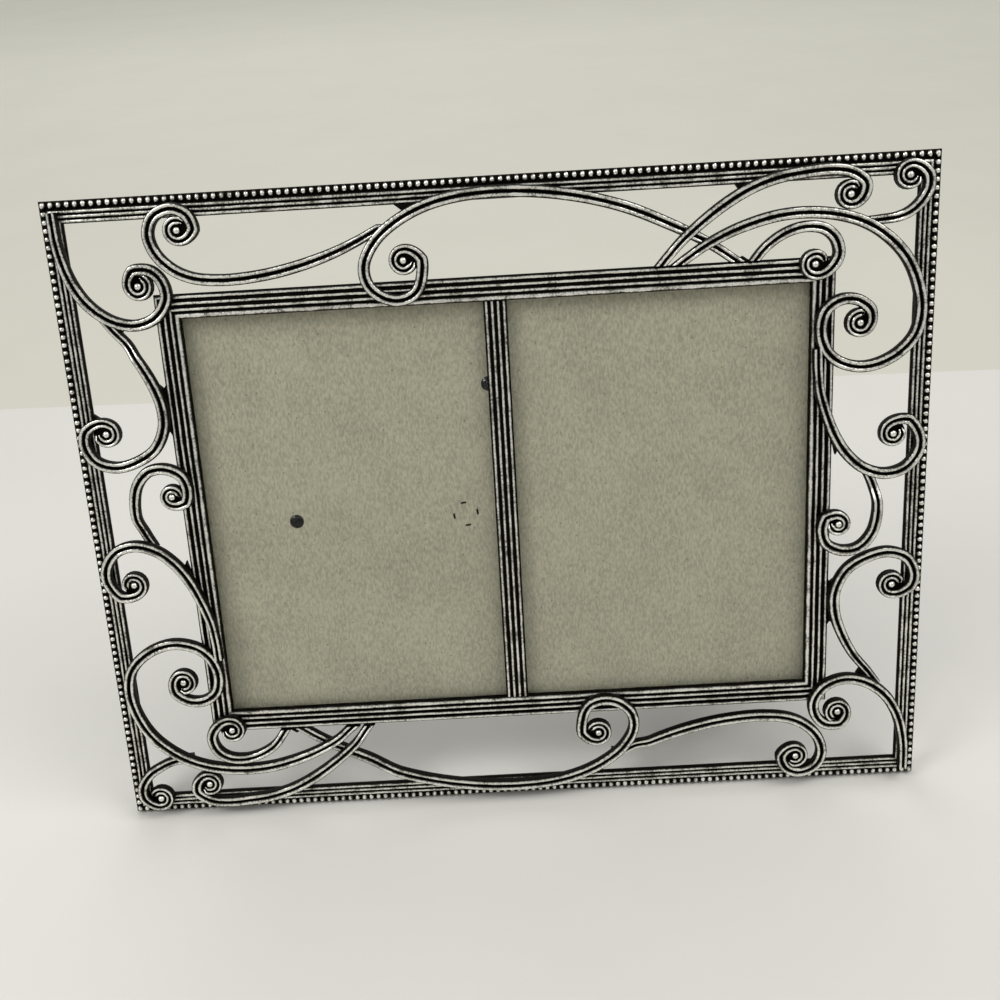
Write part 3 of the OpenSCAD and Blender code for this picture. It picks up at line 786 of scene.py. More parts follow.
@dataclass(frozen=True)
class Board:
    """Grey-olive backing board with pressed fibres and dark specks."""

    name: str = "grey_board"
    pale: Triple = (0.60, 0.56, 0.428)
    deep: Triple = (0.37, 0.345, 0.262)
    speck: Triple = (0.12, 0.10, 0.07)
    rough: float = 0.85

    def make(self) -> bpy.types.Material:
        """Build the material."""
        paint = Paint(self.name)
        clouds = paint.noise(22.0, 4.0)
        fibres = paint.noise(0.9, 4.0, 0.7, paint.stretched((1.0, 1.0, 0.35), (0.0, 0.4, 0.0)))
        pale = paint.spread(clouds, 0.3, 0.7, 0.1, 0.35)
        both = paint.maths("ADD", pale, paint.spread(fibres, 0.38, 0.62, 0.0, 0.65))
        base = paint.ramp(both, [(0.1, self.deep), (0.9, self.pale)])
        specks = paint.spread(paint.cells(4.2), 0.05, 0.1, 0.75, 0.0)
        paint.shade(paint.mix(specks, base, self.speck), "Base Color")
        paint.shade(paint.spread(fibres, 0.3, 0.7, self.rough - 0.08, self.rough + 0.05), "Roughness")
        paint.bump(fibres, 0.05)
        return paint.material


@dataclass(frozen=True)
class Brass:
    """Plated steel or brass fittings with fine scratches and dull handling marks."""

    bright: Triple = (0.62, 0.48, 0.24)
    dull: Triple = (0.50, 0.38, 0.18)

    def make(self) -> bpy.types.Material:
        """Build the material."""
        paint = Paint("brass_fittings", Metallic=1.0)
        marks = paint.noise(3.2, 5.0)
        scratches = paint.noise(0.5, 3.0, 0.6, paint.stretched((1.0, 1.0, 9.0), (0.3, 0.0, 0.6)))
        paint.shade(paint.ramp(marks, [(0.36, self.dull), (0.6, self.bright)]), "Base Color")
        handled = paint.spread(marks, 0.3, 0.7, 0.42, 0.24)
        scratched = paint.spread(scratches, 0.3, 0.7, -0.05, 0.1)
        paint.shade(paint.maths("ADD", handled, scratched), "Roughness")
        paint.bump(scratches, 0.015)
        return paint.material


@dataclass(frozen=True)
class BlackEnamel:
    """Glossy black paint on the hangers' rivets and the hinge's prongs."""

    deep: Triple = (0.002, 0.002, 0.002)
    worn: Triple = (0.006, 0.0055, 0.005)

    def make(self) -> bpy.types.Material:
        """Build the material."""
        paint = Paint("black_enamel", Coat_Weight=0.5, Coat_Roughness=0.08, Specular_IOR_Level=0.05)
        chips = paint.noise(1.6, 4.0)
        paint.shade(paint.ramp(chips, [(0.3, self.deep), (0.8, self.worn)]), "Base Color")
        paint.shade(paint.spread(chips, 0.3, 0.7, 0.18, 0.34), "Roughness")
        paint.bump(paint.noise(0.8), 0.02)
        return paint.material


@dataclass(frozen=True)
class Weave:
    """Narrow ribbed ribbon of black thread, woven along the ribbon's own map."""

    ribs: float = 110.0
    threads: float = 26.0
    deep: Triple = (0.008, 0.008, 0.009)
    worn: Triple = (0.045, 0.043, 0.042)

    def make(self) -> bpy.types.Material:
        """Build the material."""
        paint = Paint("ribbon_weave", Sheen_Weight=0.4, Sheen_Roughness=0.5)
        uv = paint.tree.nodes.new("ShaderNodeUVMap")
        uv.uv_map = "UVMap"
        split = paint.tree.nodes.new("ShaderNodeSeparateXYZ")
        paint.link(uv.outputs["UV"], split, "Vector")
        waves = [
            paint.maths("SINE", paint.maths("MULTIPLY", split.outputs[way], count * math.tau), 0.0)
            for way, count in (("X", self.ribs), ("Y", self.threads))
        ]
        cloth = paint.spread(paint.maths("MULTIPLY", *waves), -1.0, 1.0, 0.0, 1.0)
        paint.shade(paint.ramp(cloth, [(0.2, self.deep), (0.9, self.worn)]), "Base Color")
        paint.shade(paint.spread(paint.noise(1.0), 0.3, 0.7, 0.7, 0.92), "Roughness")
        paint.bump(cloth, 0.1)
        return paint.material


class Workshop:
    """Makes each finish once and turns finished shapes into pieces of the model."""

    def __init__(self) -> None:
        """Prepare the finishes."""
        black_paper = Board(
            "black_paper", (0.020, 0.019, 0.018), (0.010, 0.010, 0.009), (0.05, 0.045, 0.04), 0.72
        )
        leg_paper = Board(
            "leg_paper", (0.030, 0.027, 0.024), (0.014, 0.013, 0.012), (0.10, 0.07, 0.045), 0.66
        )
        self.materials = {
            Finish.PEWTER: OldSilver().make(),
            Finish.GLASS: WindowGlass().make(),
            Finish.GREYBOARD: Board().make(),
            Finish.COVER: black_paper.make(),
            Finish.LEG: leg_paper.make(),
            Finish.HARDWARE: Brass().make(),
            Finish.RIVET: BlackEnamel().make(),
            Finish.RIBBON: Weave().make(),
        }

    def dress_node(self, node: str, finish: Finish) -> None:
        """Give a CAD node that stays as it is its finish."""
        piece = bpy.data.objects[node]
        piece.data.materials.clear()
        piece.data.materials.append(self.materials[finish])
        LOG.info("node %s keeps its shape, in %s", node, finish.value)

    def piece(
        self,
        name: str,
        shape: Shape,
        finish: Finish,
        nodes: Sequence[str] = (),
        body: str = "frame",
        sharp: float = 38.0,
        rides: bool = True,
    ) -> bpy.types.Object:
        """Finish a shape as a piece that rides on a body.

        Args:
            name: the piece's name.
            shape: its mesh in face millimetres.
            finish: its material slot.
            nodes: CAD nodes that it stands for.
            body: the body that it rides on.
            sharp: angle past which its edges are sharp.
            rides: False where the piece is blended between bodies afterwards.

        Returns:
            The piece.
        """
        mesh = shape.finish(sharp)
        mesh.name = name
        mesh.materials.append(self.materials[finish])
        piece = bpy.data.objects.new(name, mesh)
        bpy.context.scene.collection.objects.link(piece)
        if nodes:
            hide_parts(*nodes)
        if rides:
            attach(piece, body)
        LOG.info("piece %s: %d faces, for %s", name, len(mesh.polygons), ", ".join(nodes) or "no node")
        return piece


@dataclass(frozen=True)
class ReededBars:
    """The border, the rails round the windows and the bar between them, with their round reeds."""

    sizes: Sizes = SIZES
    loop: float = 4.5
    sway: float = 0.05
    back_wear: float = 0.74
    # The border's and the bar's crests are painted a little duller: less painted highlight on them.
    less_rubbed: float = 0.96
    lip: float = 1.5
    edge: float = 0.16
    spare: float = 2.0
    back_from: float = 0.6
    calm: float = 12.0
    waves: Pair = (31.0, 23.0)

    def mitred(
        self,
        near: float,
        half: float,
        width: float,
        reeds: tuple[int, float, float, float],
        plates: Sequence[tuple],
        lip: float = 1.0,
    ) -> Shape:
        """Model one bar for the top side.

        Args:
            near: height of its inner edge above the middle.
            half: half its length at its outer edge.
            width: its width.
            reeds: how many reeds it has, their radius, their spacing and how bright their crests are
                painted, for rubbing and painted highlight.
            plates: low and high (outward, depth) of each plate of its body.
            lip: how much wider its innermost reed is than the others.

        Returns:
            The bar, mitred at both ends.
        """
        shape = Shape()
        self.fill(shape, near, half + self.spare, reeds, plates, half - width, lip)
        for side in (1, -1):
            shape.slice(shape.bm.verts[:], (side * half, 0.0, near + width), (side, 0.0, -1.0))
        return shape

    def fill(
        self,
        shape: Shape,
        near: float,
        half: float,
        reeds: tuple[int, float, float, float],
        plates: Sequence[tuple],
        fade: float,
        lip: float = 1.0,
    ) -> None:
        """Lay a bar's plates and reeds along X.

        Args:
            shape: the mesh to add to.
            near: height of the bar's inner edge.
            half: half the length of the plates and reeds.
            reeds: how many, their radius, their spacing and how bright their crests are painted, for rubbing
                and painted highlight.
            plates: low and high (outward, depth) of each plate.
            fade: half length inside which the reeds sway.
            lip: how much wider the innermost reed is than the others.
        """
        count, radius, pitch, rubbed = reeds
        loops = round(2 * half / self.loop)
        for (u0, y0), (u1, y1), wear in plates:
            plate = shape.box((-half, y0, near + u0), (half, y1, near + u1), wear, self.edge)
            shape.paint([vert for vert in plate if vert.co.y > self.back_from], self.back_wear)
        crest = radius - self.sizes.reed_rise
        for number in range(count):
            height = near + (number + 0.5) * pitch
            rod = shape.rod(radius, (-half, crest, height), (half, crest, height), 16, 0.0, 0.0, loops)
            # Painted highlight and painted shade with the rubbing: each reed is painted brightest where it
            # faces the front and dark on its flanks.
            shape.paint(rod, lambda co: rubbed * min(max((crest - co.y) / radius, 0.0), 1.0))
            if number == 0:
                shape.move(rod, stretched_about((0.0, crest, height), (1.0, 1.0, lip)))
            for vert in rod:
                sway = self.sway * smooth_step((fade - abs(vert.co.x)) / self.calm)
                vert.co.z += sway * drift(near + number * 2.3, vert.co.x, self.waves[0])
                vert.co.y += sway * 0.8 * (1 + drift(near * 1.3 + number, vert.co.x, self.waves[1]))

    def build(self, shop: Workshop) -> None:
        """Build and dress every bar."""
        s = self.sizes
        border_floor = s.border_reed_r * s.reed_floor - s.reed_rise
        rail_floor = s.rail_reed_r * s.reed_floor - s.reed_rise
        reeded = s.border_w - s.bead_band
        border_plates = [
            ((0.0, border_floor), (reeded, s.border_web), 0.0),
            ((reeded - 0.6, s.ledge), (s.border_w, s.border_back), 0.22),
        ]
        rail_plates = [
            ((0.0, rail_floor), (s.rail_w, s.lip_back), 0.1),
            ((s.lip_w, 0.0), (s.rail_w - s.rim_w, s.rail_back), 0.3),
        ]
        border_reeds = (3, s.border_reed_r, reeded / 3, self.less_rubbed)
        rail_reeds = (4, s.rail_reed_r, s.rail_w / 4, 1.0)
        for side in Side:
            level = side in (Side.TOP, Side.BOTTOM)
            near = (s.band_z, s.rail_in_z) if level else (s.band_x, s.rail_in_x)
            half = (s.half_w, s.rail_x) if level else (s.half_h, s.rail_z)
            border = self.mitred(near[0], half[0], s.border_w, border_reeds, border_plates)
            rail = self.mitred(near[1], half[1], s.rail_w, rail_reeds, rail_plates, self.lip)
            for word, bar in (("border", border), ("rail", rail)):
                bar.place(side.turn())
                shop.piece(f"reeded_{word}_{side.word}", bar, Finish.PEWTER, [f"{word}_{side.word}"])
        bar = Shape()
        middle = s.mullion_w / 2
        web = middle - s.lip_w
        plates = [
            ((0.0, rail_floor), (s.mullion_w, s.lip_back), 0.1),
            ((middle - web, 0.0), (middle + web, s.board_front - s.print_room), 0.1),
        ]
        half = s.rail_in_z - s.seat
        reeds = (4, s.rail_reed_r, s.mullion_w / 4, self.less_rubbed)
        self.fill(bar, -middle, half, reeds, plates, half)
        bar.place(Side.RIGHT.turn())
        shop.piece("reeded_bar", bar, Finish.PEWTER, ["mullion"])


@dataclass(frozen=True)
class BeadRows:
    """Rows of small beads on a thread along the border's outer ledge."""

    sizes: Sizes = SIZES
    slim: float = 0.84
    tall: float = 1.07
    # Gain on each bead's painted value: its rubbing and painted highlight.
    rubbed: float = 1.12
    thread: float = 0.35
    sway: float = 0.05
    wave: float = 9.0

    def row(self, count: int, pitch: float, height: float) -> Shape:
        """Model one row along X.

        Args:
            count: number of beads.
            pitch: distance from bead to bead.
            height: height of the row above the middle.

        Returns:
            The row, flat where it lies on its ledge.
        """
        s = self.sizes
        shape = Shape()
        ledge = s.ledge - s.seat
        end = (count - 1) * pitch / 2
        first = (-end, ledge, height)
        bead = shape.ball(s.bead_r, first, 12, 8)
        shape.move(bead, stretched_about(first, (self.slim, 1.0, self.tall)))
        # Painted highlight with the rubbing: each bead is painted brightest where it faces the front and
        # darker towards its sides.
        shape.paint(bead, lambda co: min(max(self.rubbed * (ledge - co.y) / s.bead_r, 0.0), 1.0))
        bead = shape.slice(bead, (0.0, ledge, 0.0), (0.0, 1.0, 0.0))
        for number in range(1, count):
            sway = self.sway * drift(height, number * pitch, self.wave)
            shape.copy(bead, Matrix.Translation((number * pitch, 0.0, sway)))
        thread = shape.rod(s.bead_r * self.thread, first, (end, ledge, height), 8, 0.1)
        shape.slice(thread, (0.0, ledge, 0.0), (0.0, 1.0, 0.0))
        return shape

    def build(self, shop: Workshop) -> None:
        """Build and dress the four rows."""
        s = self.sizes
        for side in Side:
            level = side in (Side.TOP, Side.BOTTOM)
            length, far = (s.frame_w, s.half_h) if level else (s.frame_h, s.half_w)
            length -= s.bead_band
            gaps = round(length / s.bead_pitch)
            count = gaps + 1 if level else gaps - 1
            row = self.row(count, length / gaps, far - s.bead_band / 2)
            row.place(side.turn())
            shop.piece(f"bead_row_{side.word}", row, Finish.PEWTER, [f"beads_{side.word}"], sharp=60.0)


class Tail(Enum):
    """How a scroll's tail runs low: drop in thicknesses, then lengths that stay low and slope, in widths."""

    BUTT = (0.72, 0.0, 1.8)
    TUCKED = (1.02, 1.4, 1.9)
    UNDER_ARCH = (1.02, 6.6, 3.6)
    LEVEL = (0.0, 0.0, 1.0)


@dataclass(frozen=True)
class Scroll:
    """One scroll of the top and right side, and the name of the one that repeats it half a turn on."""

    name: str
    twin: str
    tail: Tail
    level: bool
    stem: tuple[Pair, ...]
    pearl: Pair
    eye_start: float
    turn: int
    opening: float
    eye: float
    eye_turn: float
    runs_on: Pair | None = None


SCROLLS = (
    Scroll(
        "top_left", "bottom_right", Tail.TUCKED, False,
        (
            (-0.324, 1.701), (-0.387, 1.56), (-0.462, 1.419), (-0.566, 1.278), (-0.67, 1.189),
            (-0.789, 1.158), (-0.876, 1.216), (-0.934, 1.361), (-0.972, 1.577), (-0.983, 1.821),
            (-0.961, 2.027), (-0.908, 2.12), (-0.865, 2.027),
        ),
        (-0.897, 1.835), 0, -1, 1.292, 0.792, 258, (3.4, -0.4),
    ),
    Scroll(
        "top_arch", "bottom_arch", Tail.UNDER_ARCH, True,
        (
            (0.712, 1.003), (0.644, 1.223), (0.555, 1.457), (0.372, 1.828), (0.186, 2.034), (0, 2.093),
            (-0.149, 2.014), (-0.257, 1.821), (-0.335, 1.546), (-0.372, 1.237), (-0.365, 0.995),
            (-0.324, 0.94), (-0.272, 0.925), (-0.223, 0.959),
        ),
        (-0.257, 1.278), 0, 1, 1.5, 0.812, 318,
    ),
    Scroll(
        "top_sweep", "bottom_sweep", Tail.BUTT, True,
        (
            (0.488, 1.003), (0.536, 1.265), (0.599, 1.519), (0.678, 1.777), (0.752, 1.955), (0.827, 2.062),
            (0.901, 2.107), (0.975, 2.124), (1.138, 2.076), (1.313, 1.931),
        ),
        (1.122, 1.797), 0, -1, 1.188, 0.771, 270,
    ),
    Scroll(
        "corner_hook", "low_hook", Tail.BUTT, True,
        (
            (0.54, 1.003), (0.599, 1.199), (0.674, 1.375), (0.748, 1.495), (0.819, 1.57), (0.894, 1.595),
            (0.983, 1.557), (1.286, 1.443), (1.582, 1.251), (1.845, 0.988), (2.01, 0.873), (2.062, 0.757),
            (1.993, 0.662), (1.78, 0.589), (1.516, 0.549), (1.286, 0.542), (1.023, 0.57), (0.965, 0.631),
            (0.952, 0.715), (0.968, 0.787), (1.056, 0.826), (1.266, 0.819),
        ),
        (1.286, 0.726), 50, -1, 1.375, 0.812, 308,
    ),
    Scroll(
        "corner_curl", "low_curl", Tail.BUTT, True,
        (
            (0.761, 1.003), (0.793, 1.189), (0.844, 1.344), (0.901, 1.412), (0.956, 1.375), (0.99, 1.237),
            (1.003, 1.045),
        ),
        (0.931, 0.975), 0, -1, 1.667, 0.812, 334,
    ),
    Scroll(
        "corner_tip", "low_tip", Tail.TUCKED, False,
        (
            (1.339, 1.426), (1.516, 1.44), (1.747, 1.474), (1.951, 1.595), (2.089, 1.808),
        ),
        (1.845, 2), 0, 1, 1.542, 0.771, 330,
    ),
    Scroll(
        "right_upper", "left_lower", Tail.LEVEL, False,
        (
            (0.946, 0.547), (0.953, 0.452), (0.972, 0.358), (1.007, 0.252), (1.171, 0.168), (1.401, 0.101),
            (1.681, 0.072), (1.944, 0.095), (2.102, 0.161), (2.115, 0.231),
        ),
        (1.76, 0.248), 40, 1, 1.75, 0.75, 338, (-0.2, 7.5),
    ),
    Scroll(
        "right_middle", "left_middle", Tail.TUCKED, False,
        (
            (1.451, 0.095), (1.563, 0.011), (1.602, -0.095), (1.53, -0.198), (1.352, -0.259),
            (1.122, -0.267), (0.983, -0.231), (0.969, -0.166),
        ),
        (1.079, -0.144), 150, -1, 1.229, 0.667, 283,
    ),
    Scroll(
        "right_lower", "left_upper", Tail.TUCKED, False,
        (
            (1.582, -0.868), (1.343, -0.768), (1.158, -0.652), (1.06, -0.547), (1.067, -0.45),
            (1.222, -0.356), (1.51, -0.301), (1.78, -0.286), (2.023, -0.318), (2.128, -0.393),
        ),
        (1.819, -0.435), -10, -1, 1.75, 0.792, 338, (3.9, -5.8),
    ),
    Scroll(
        "right_foot", "left_head", Tail.LEVEL, False,
        (
            (2.092, -2.148), (2.076, -1.684), (1.977, -1.237), (1.796, -0.973), (1.516, -0.904),
            (1.22, -0.884), (0.99, -0.915), (0.955, -0.988), (0.962, -1.189), (0.993, -1.337),
        ),
        (1.132, -1.137), -75, 1, 1.292, 0.792, 280,
    ),
)


@dataclass(frozen=True)
class Ring:
    """One ring of a swept strip: its place, the unit vector across it, its width and its base."""

    place: Vector
    across: Vector
    width: float
    base: float
    thick: float


@dataclass(frozen=True)
class Route:
    """A scroll's centre line on the face, as the CAD source works it out, in finer steps."""

    scroll: Scroll
    sizes: Sizes = SIZES
    step: float = 1.05
    eye_step: float = 7.5
    fade: float = 42.0
    narrow: float = 60.0
    source_rings: int = 13
    eye_more: float = 50.0
    eye_most: float = 346.0
    taper: float = 26.0
    eye_fuller: float = 1.08

    def on_face(self, shares: Pair) -> Vector:
        """Millimetres on the face of a place given in shares."""
        s = self.sizes
        limits = ((s.rail_x, s.band_x), (s.rail_z, s.band_z))
        values = []
        for share, (near, far) in zip(shares, limits):
            size = abs(share)
            length = size * near if size <= 1 else near + (size - 1) * (far - near)
            values.append(math.copysign(length, share))
        return Vector(values)

    def eye_point(self, angle: float) -> Vector:
        """A point of the curl after it has turned through an angle in degrees."""
        c = self.scroll
        eye = c.eye * self.sizes.strip_w
        radius = eye + (c.opening * self.sizes.strip_w - eye) * math.exp(-angle / self.fade)
        way = math.radians(c.eye_start + c.turn * angle)
        return self.on_face(c.pearl) + radius * Vector((math.cos(way), math.sin(way)))

    def stem_points(self) -> list[Vector]:
        """Points of the smooth stem up to the curl."""
        stem = [self.on_face(share) for share in self.scroll.stem]
        next_eye = self.scroll.eye_turn / self.source_rings
        knots = [2 * stem[0] - stem[1], *stem, self.eye_point(0.0), self.eye_point(next_eye)]
        points = []
        for a, b, c, d in zip(knots, knots[1:], knots[2:], knots[3:]):
            count = max(2, round((c - b).length / self.step))
            m = self.slope(a, b, c) * self.chord(b, c)
            n = self.slope(b, c, d) * self.chord(b, c)
            for k in range(count):
                t = k / count
                points.append(
                    (2 * t**3 - 3 * t**2 + 1) * b
                    + (t**3 - 2 * t**2 + t) * m
                    + (3 * t**2 - 2 * t**3) * c
                    + (t**3 - t**2) * n
                )
        return points

    @staticmethod
    def chord(a: Vector, b: Vector) -> float:
        """Square root of the distance between two knots."""
        return max(math.sqrt((b - a).length), 0.001)

    def slope(self, a: Vector, b: Vector, c: Vector) -> Vector:
        """Slope of the line at the middle one of three knots."""
        first = self.chord(a, b)
        second = self.chord(b, c)
        return (b - a) / first - (c - a) / (first + second) + (c - b) / second

    def rings(self) -> list[Ring]:
        """The rings of the strip from its tail to the end of its curl."""
        s = self.sizes
        stem = self.stem_points()
        eye_turn = min(self.scroll.eye_turn + self.eye_more, self.eye_most)
        turns = math.ceil(eye_turn / self.eye_step)
        angles = [eye_turn * k / turns for k in range(turns + 1)]
        points = stem + [self.eye_point(angle) for angle in angles]
        turned = [0.0] * len(stem) + angles
        drop, low, rise = self.scroll.tail.value
        run = 0.0
        rings = []
        for index, point in enumerate(points):
            before = points[max(index - 1, 0)]
            after = points[min(index + 1, len(points) - 1)]
            along = (after - before).normalized()
            run += (point - before).length
            grown = s.tail_w + (s.strip_w - s.tail_w) * smooth_step(run / (8 * s.strip_w))
            eye_w = s.eye_w * self.eye_fuller
            width = eye_w + (grown - eye_w) * math.exp(-turned[index] / self.narrow)
            sink = drop * s.strip_t * (1 - smooth_step((run / s.strip_w - low) / rise))
            end = smooth_step((turned[index] - eye_turn) / self.taper + 1) if turned[index] else 0.0
            rings.append(
                Ring(
                    point,
                    Vector((-along.y, along.x)),
                    width * (1 - 0.4 * end),
                    -s.reed_rise - s.seat + sink,
                    s.strip_t * (1 - 0.3 * end),
                )
            )
        if self.scroll.runs_on:
            first = rings[0]
            offset = Vector(self.scroll.runs_on)
            across = Vector((offset.y, -offset.x)).normalized()
            middle = (first.across + across).normalized()
            rings[:0] = [
                replace(first, place=first.place + offset, across=across),
                replace(first, place=first.place + offset * 0.45, across=middle),
            ]
        return rings


@dataclass(frozen=True)
class Scrollwork:
    """The open scrolls between the rails and the border, each a strip with two round reeds."""

    sizes: Sizes = SIZES
    reed: float = 0.40
    reed_at: float = 0.55
    groove: float = 0.55
    arc_steps: int = 8
    foot: Triple = (0.93, 0.0, 0.55)
    flank: Triple = (0.99, 0.36, 0.0)
    level_from: float = 2.6

    def section(self) -> list[Triple]:
        """The strip's section: across in half widths, up in thicknesses, and its painted value: rubbing and
        a painted highlight on the reeds' tops, dark patina in the groove, and patina with painted shade on
        the flanks.
        """
        half = self.sizes.strip_w / 2
        lift = self.reed * half / self.sizes.strip_t
        # Painted highlight with the rubbing: each reed is painted brightest on its top; flanks and groove
        # are painted dark.
        points = [(-across, up, wear) for across, up, wear in (self.foot, self.flank)]
        for centre in (-self.reed_at, self.reed_at):
            for k in range(self.arc_steps + 1):
                angle = math.pi * (1 - k / self.arc_steps)
                height = math.sin(angle)
                points.append((centre + self.reed * math.cos(angle), 1 - lift + lift * height, height))
            if centre < 0:
                points.append((0.0, self.groove, 0.0))
        return points + [self.flank, self.foot]

    @staticmethod
    def ring_matrix(ring: Ring) -> Matrix:
        """Place of a ring's section on the face."""
        across = Vector((ring.across.x, 0.0, ring.across.y)) * ring.width / 2
        up = Vector((0.0, -1.0, 0.0)) * ring.thick
        along = Vector((-ring.across.y, 0.0, ring.across.x))
        place = Vector((ring.place.x, ring.base, ring.place.y))
        return Matrix.Translation(place) @ Matrix((across, up, along)).transposed().to_4x4()

    def strip(self, scroll: Scroll) -> Shape:
        """Sweep one scroll's strip along its route."""
        rings = Route(scroll).rings()
        if scroll.level:
            first = rings[0]
            level = Vector((1 / first.across.x, 0.0))
            far = [ring for ring in rings if (ring.place - first.place).length > self.level_from]
            rings = [replace(first, across=level), *far]
        shape = Shape()
        section = self.section()
        verts = shape.line([(x, y, 0.0) for x, y, _ in section], closed=True)
        for vert, (_, _, wear) in zip(verts, section):
            vert[shape.wear] = wear
        shape.move(verts, self.ring_matrix(rings[0]))
        edges = edges_of(verts)
        bmesh.ops.contextual_create(shape.bm, geom=edges)
        for before, ring in zip(rings, rings[1:]):
            edges = shape.draw_on(edges, self.ring_matrix(ring) @ self.ring_matrix(before).inverted())
        bmesh.ops.contextual_create(shape.bm, geom=edges)
        return shape

    def pearl(self, shape: Shape, scroll: Scroll) -> None:
        """Add the pearl in a scroll's eye, on its dark seat."""
        s = self.sizes
        centre = Route(scroll).on_face(scroll.pearl)
        base = -s.reed_rise - s.seat
        seat_r = scroll.eye * s.strip_w + s.eye_w / 2 + 0.25
        profile = [(0.0, 0.0), (seat_r, 0.0), (seat_r, 0.75), (seat_r - 0.3, 1.0), (s.pearl_r * 0.75, 1.05)]
        profile += [(s.pearl_r * 0.7, s.strip_t - 1.6), (0.0, s.strip_t - 1.4)]
        shape.lathe(profile, Matrix.Translation((centre.x, base, centre.y)) @ TO_FRONT, 20, 0.0)
        height = base - s.strip_t + s.pearl_r / 2
        ball = shape.ball(s.pearl_r, (centre.x, height, centre.y), 20, 14)
        # Painted highlight with the rubbing: the pearl is painted bright on its front and dark towards its
        # back.
        shape.paint(ball, lambda co: smooth_step(0.35 + (height - co.y) / s.pearl_r))

    def build(self, shop: Workshop) -> None:
        """Build and dress every scroll, its twin and the pearls."""
        pearls = Shape()
        for scroll in SCROLLS:
            strip = self.strip(scroll)
            twin = strip.half_turned()
            for name, shape in ((scroll.name, strip), (scroll.twin, twin)):
                shop.piece(f"reeded_{name}", shape, Finish.PEWTER, [f"scroll_{name}"])
            self.pearl(pearls, scroll)
        pearls.copy(pearls.bm.verts[:], HALF_TURN)
        shop.piece("curl_pearls", pearls, Finish.PEWTER, ["pearls"], sharp=60.0)


@dataclass(frozen=True)
class Webs:
    """Thin dark webs of the casting, in the sharp angles between strips, rails and border."""

    front: float = -1.7
    back: float = 0.3
    outlines: tuple[tuple[Pair, ...], ...] = (
        ((-37.0, 124.4), (-25.0, 124.4), (-31.0, 119.5)),
        ((94.5, 124.4), (102.5, 124.4), (97.0, 120.8)),
        ((94.0, 94.9), (101.0, 94.9), (97.6, 97.2)),
        (
            (133.9, -38.6), (134.7, -40.4), (136.2, -39.0), (137.2, -44.0), (137.2, -52.0), (136.6, -59.6),
            (135.0, -57.9), (133.9, -59.4),
        ),
        ((147.0, -83.2), (148.3, -81.2), (148.9, -78.2), (150.2, -79.2), (151.8, -85.0)),
        ((133.9, 22.0), (135.6, 15.2), (138.2, 20.2)),
        ((165.3, -44.6), (162.0, -46.9), (165.3, -49.4)),
    )

    def build(self, shop: Workshop) -> None:
        """Build and dress the webs of the upper right half, and the same half a turn on."""
        shape = Shape()
        for outline in self.outlines:
            verts = shape.line([(x, self.front, z) for x, z in outline], closed=True)
            shape.pull(shape.fill_in(verts), Matrix.Translation((0.0, self.back - self.front, 0.0)))
        shape.paint(shape.bm.verts, 0.1)
        shape.copy(shape.bm.verts[:], HALF_TURN)
        shop.piece("cast_webs", shape, Finish.PEWTER)


@dataclass(frozen=True)
class Rivet:
    """A hanger's rivet: a glossy black dome on the board's front and a flat head behind the strap."""

    sizes: Sizes = SIZES
    dome_r: float = 3.0
    dome_rise: float = 1.2
    shank_r: float = 1.3
    strap_t: float = 0.6

    def shape(self, place: Matrix) -> Shape:
        """Model the rivet.

        Args:
            place: the hanger's place, with the rivet at its origin and Y to the back.

        Returns:
            The rivet.
        """
        s = self.sizes
        shape = Shape()
        front = place @ Matrix.Translation((0, s.board_front, 0)) @ TO_FRONT
        sphere = (self.dome_r**2 + self.dome_rise**2) / (2 * self.dome_rise)
        dome = [
            (sphere * math.sin(angle), self.dome_rise - sphere * (1 - math.cos(angle)))
            for angle in (math.asin(self.dome_r * k / 8 / sphere) for k in range(9))
        ]
        dome += [(self.dome_r - 0.25, 0.02), (0.0, 0.02)]
        shape.lathe(dome, front, 32)
        behind = s.rail_back + self.strap_t + s.seat
        shape.rod(self.shank_r, (0, s.board_front - 0.3, 0), (0, behind + 0.2, 0), 16, matrix=place)
        head_r = self.shank_r * 1.7
        head = [(0.0, 0.0), (head_r, 0.0), (head_r, 0.2), (head_r * 0.86, 0.45)]
        head += [(head_r * 0.5, 0.58), (0.0, 0.6)]
        back = place @ Matrix.Translation((0, behind, 0)) @ TO_BACK
        shape.lathe(head, back, 24)
        return shape


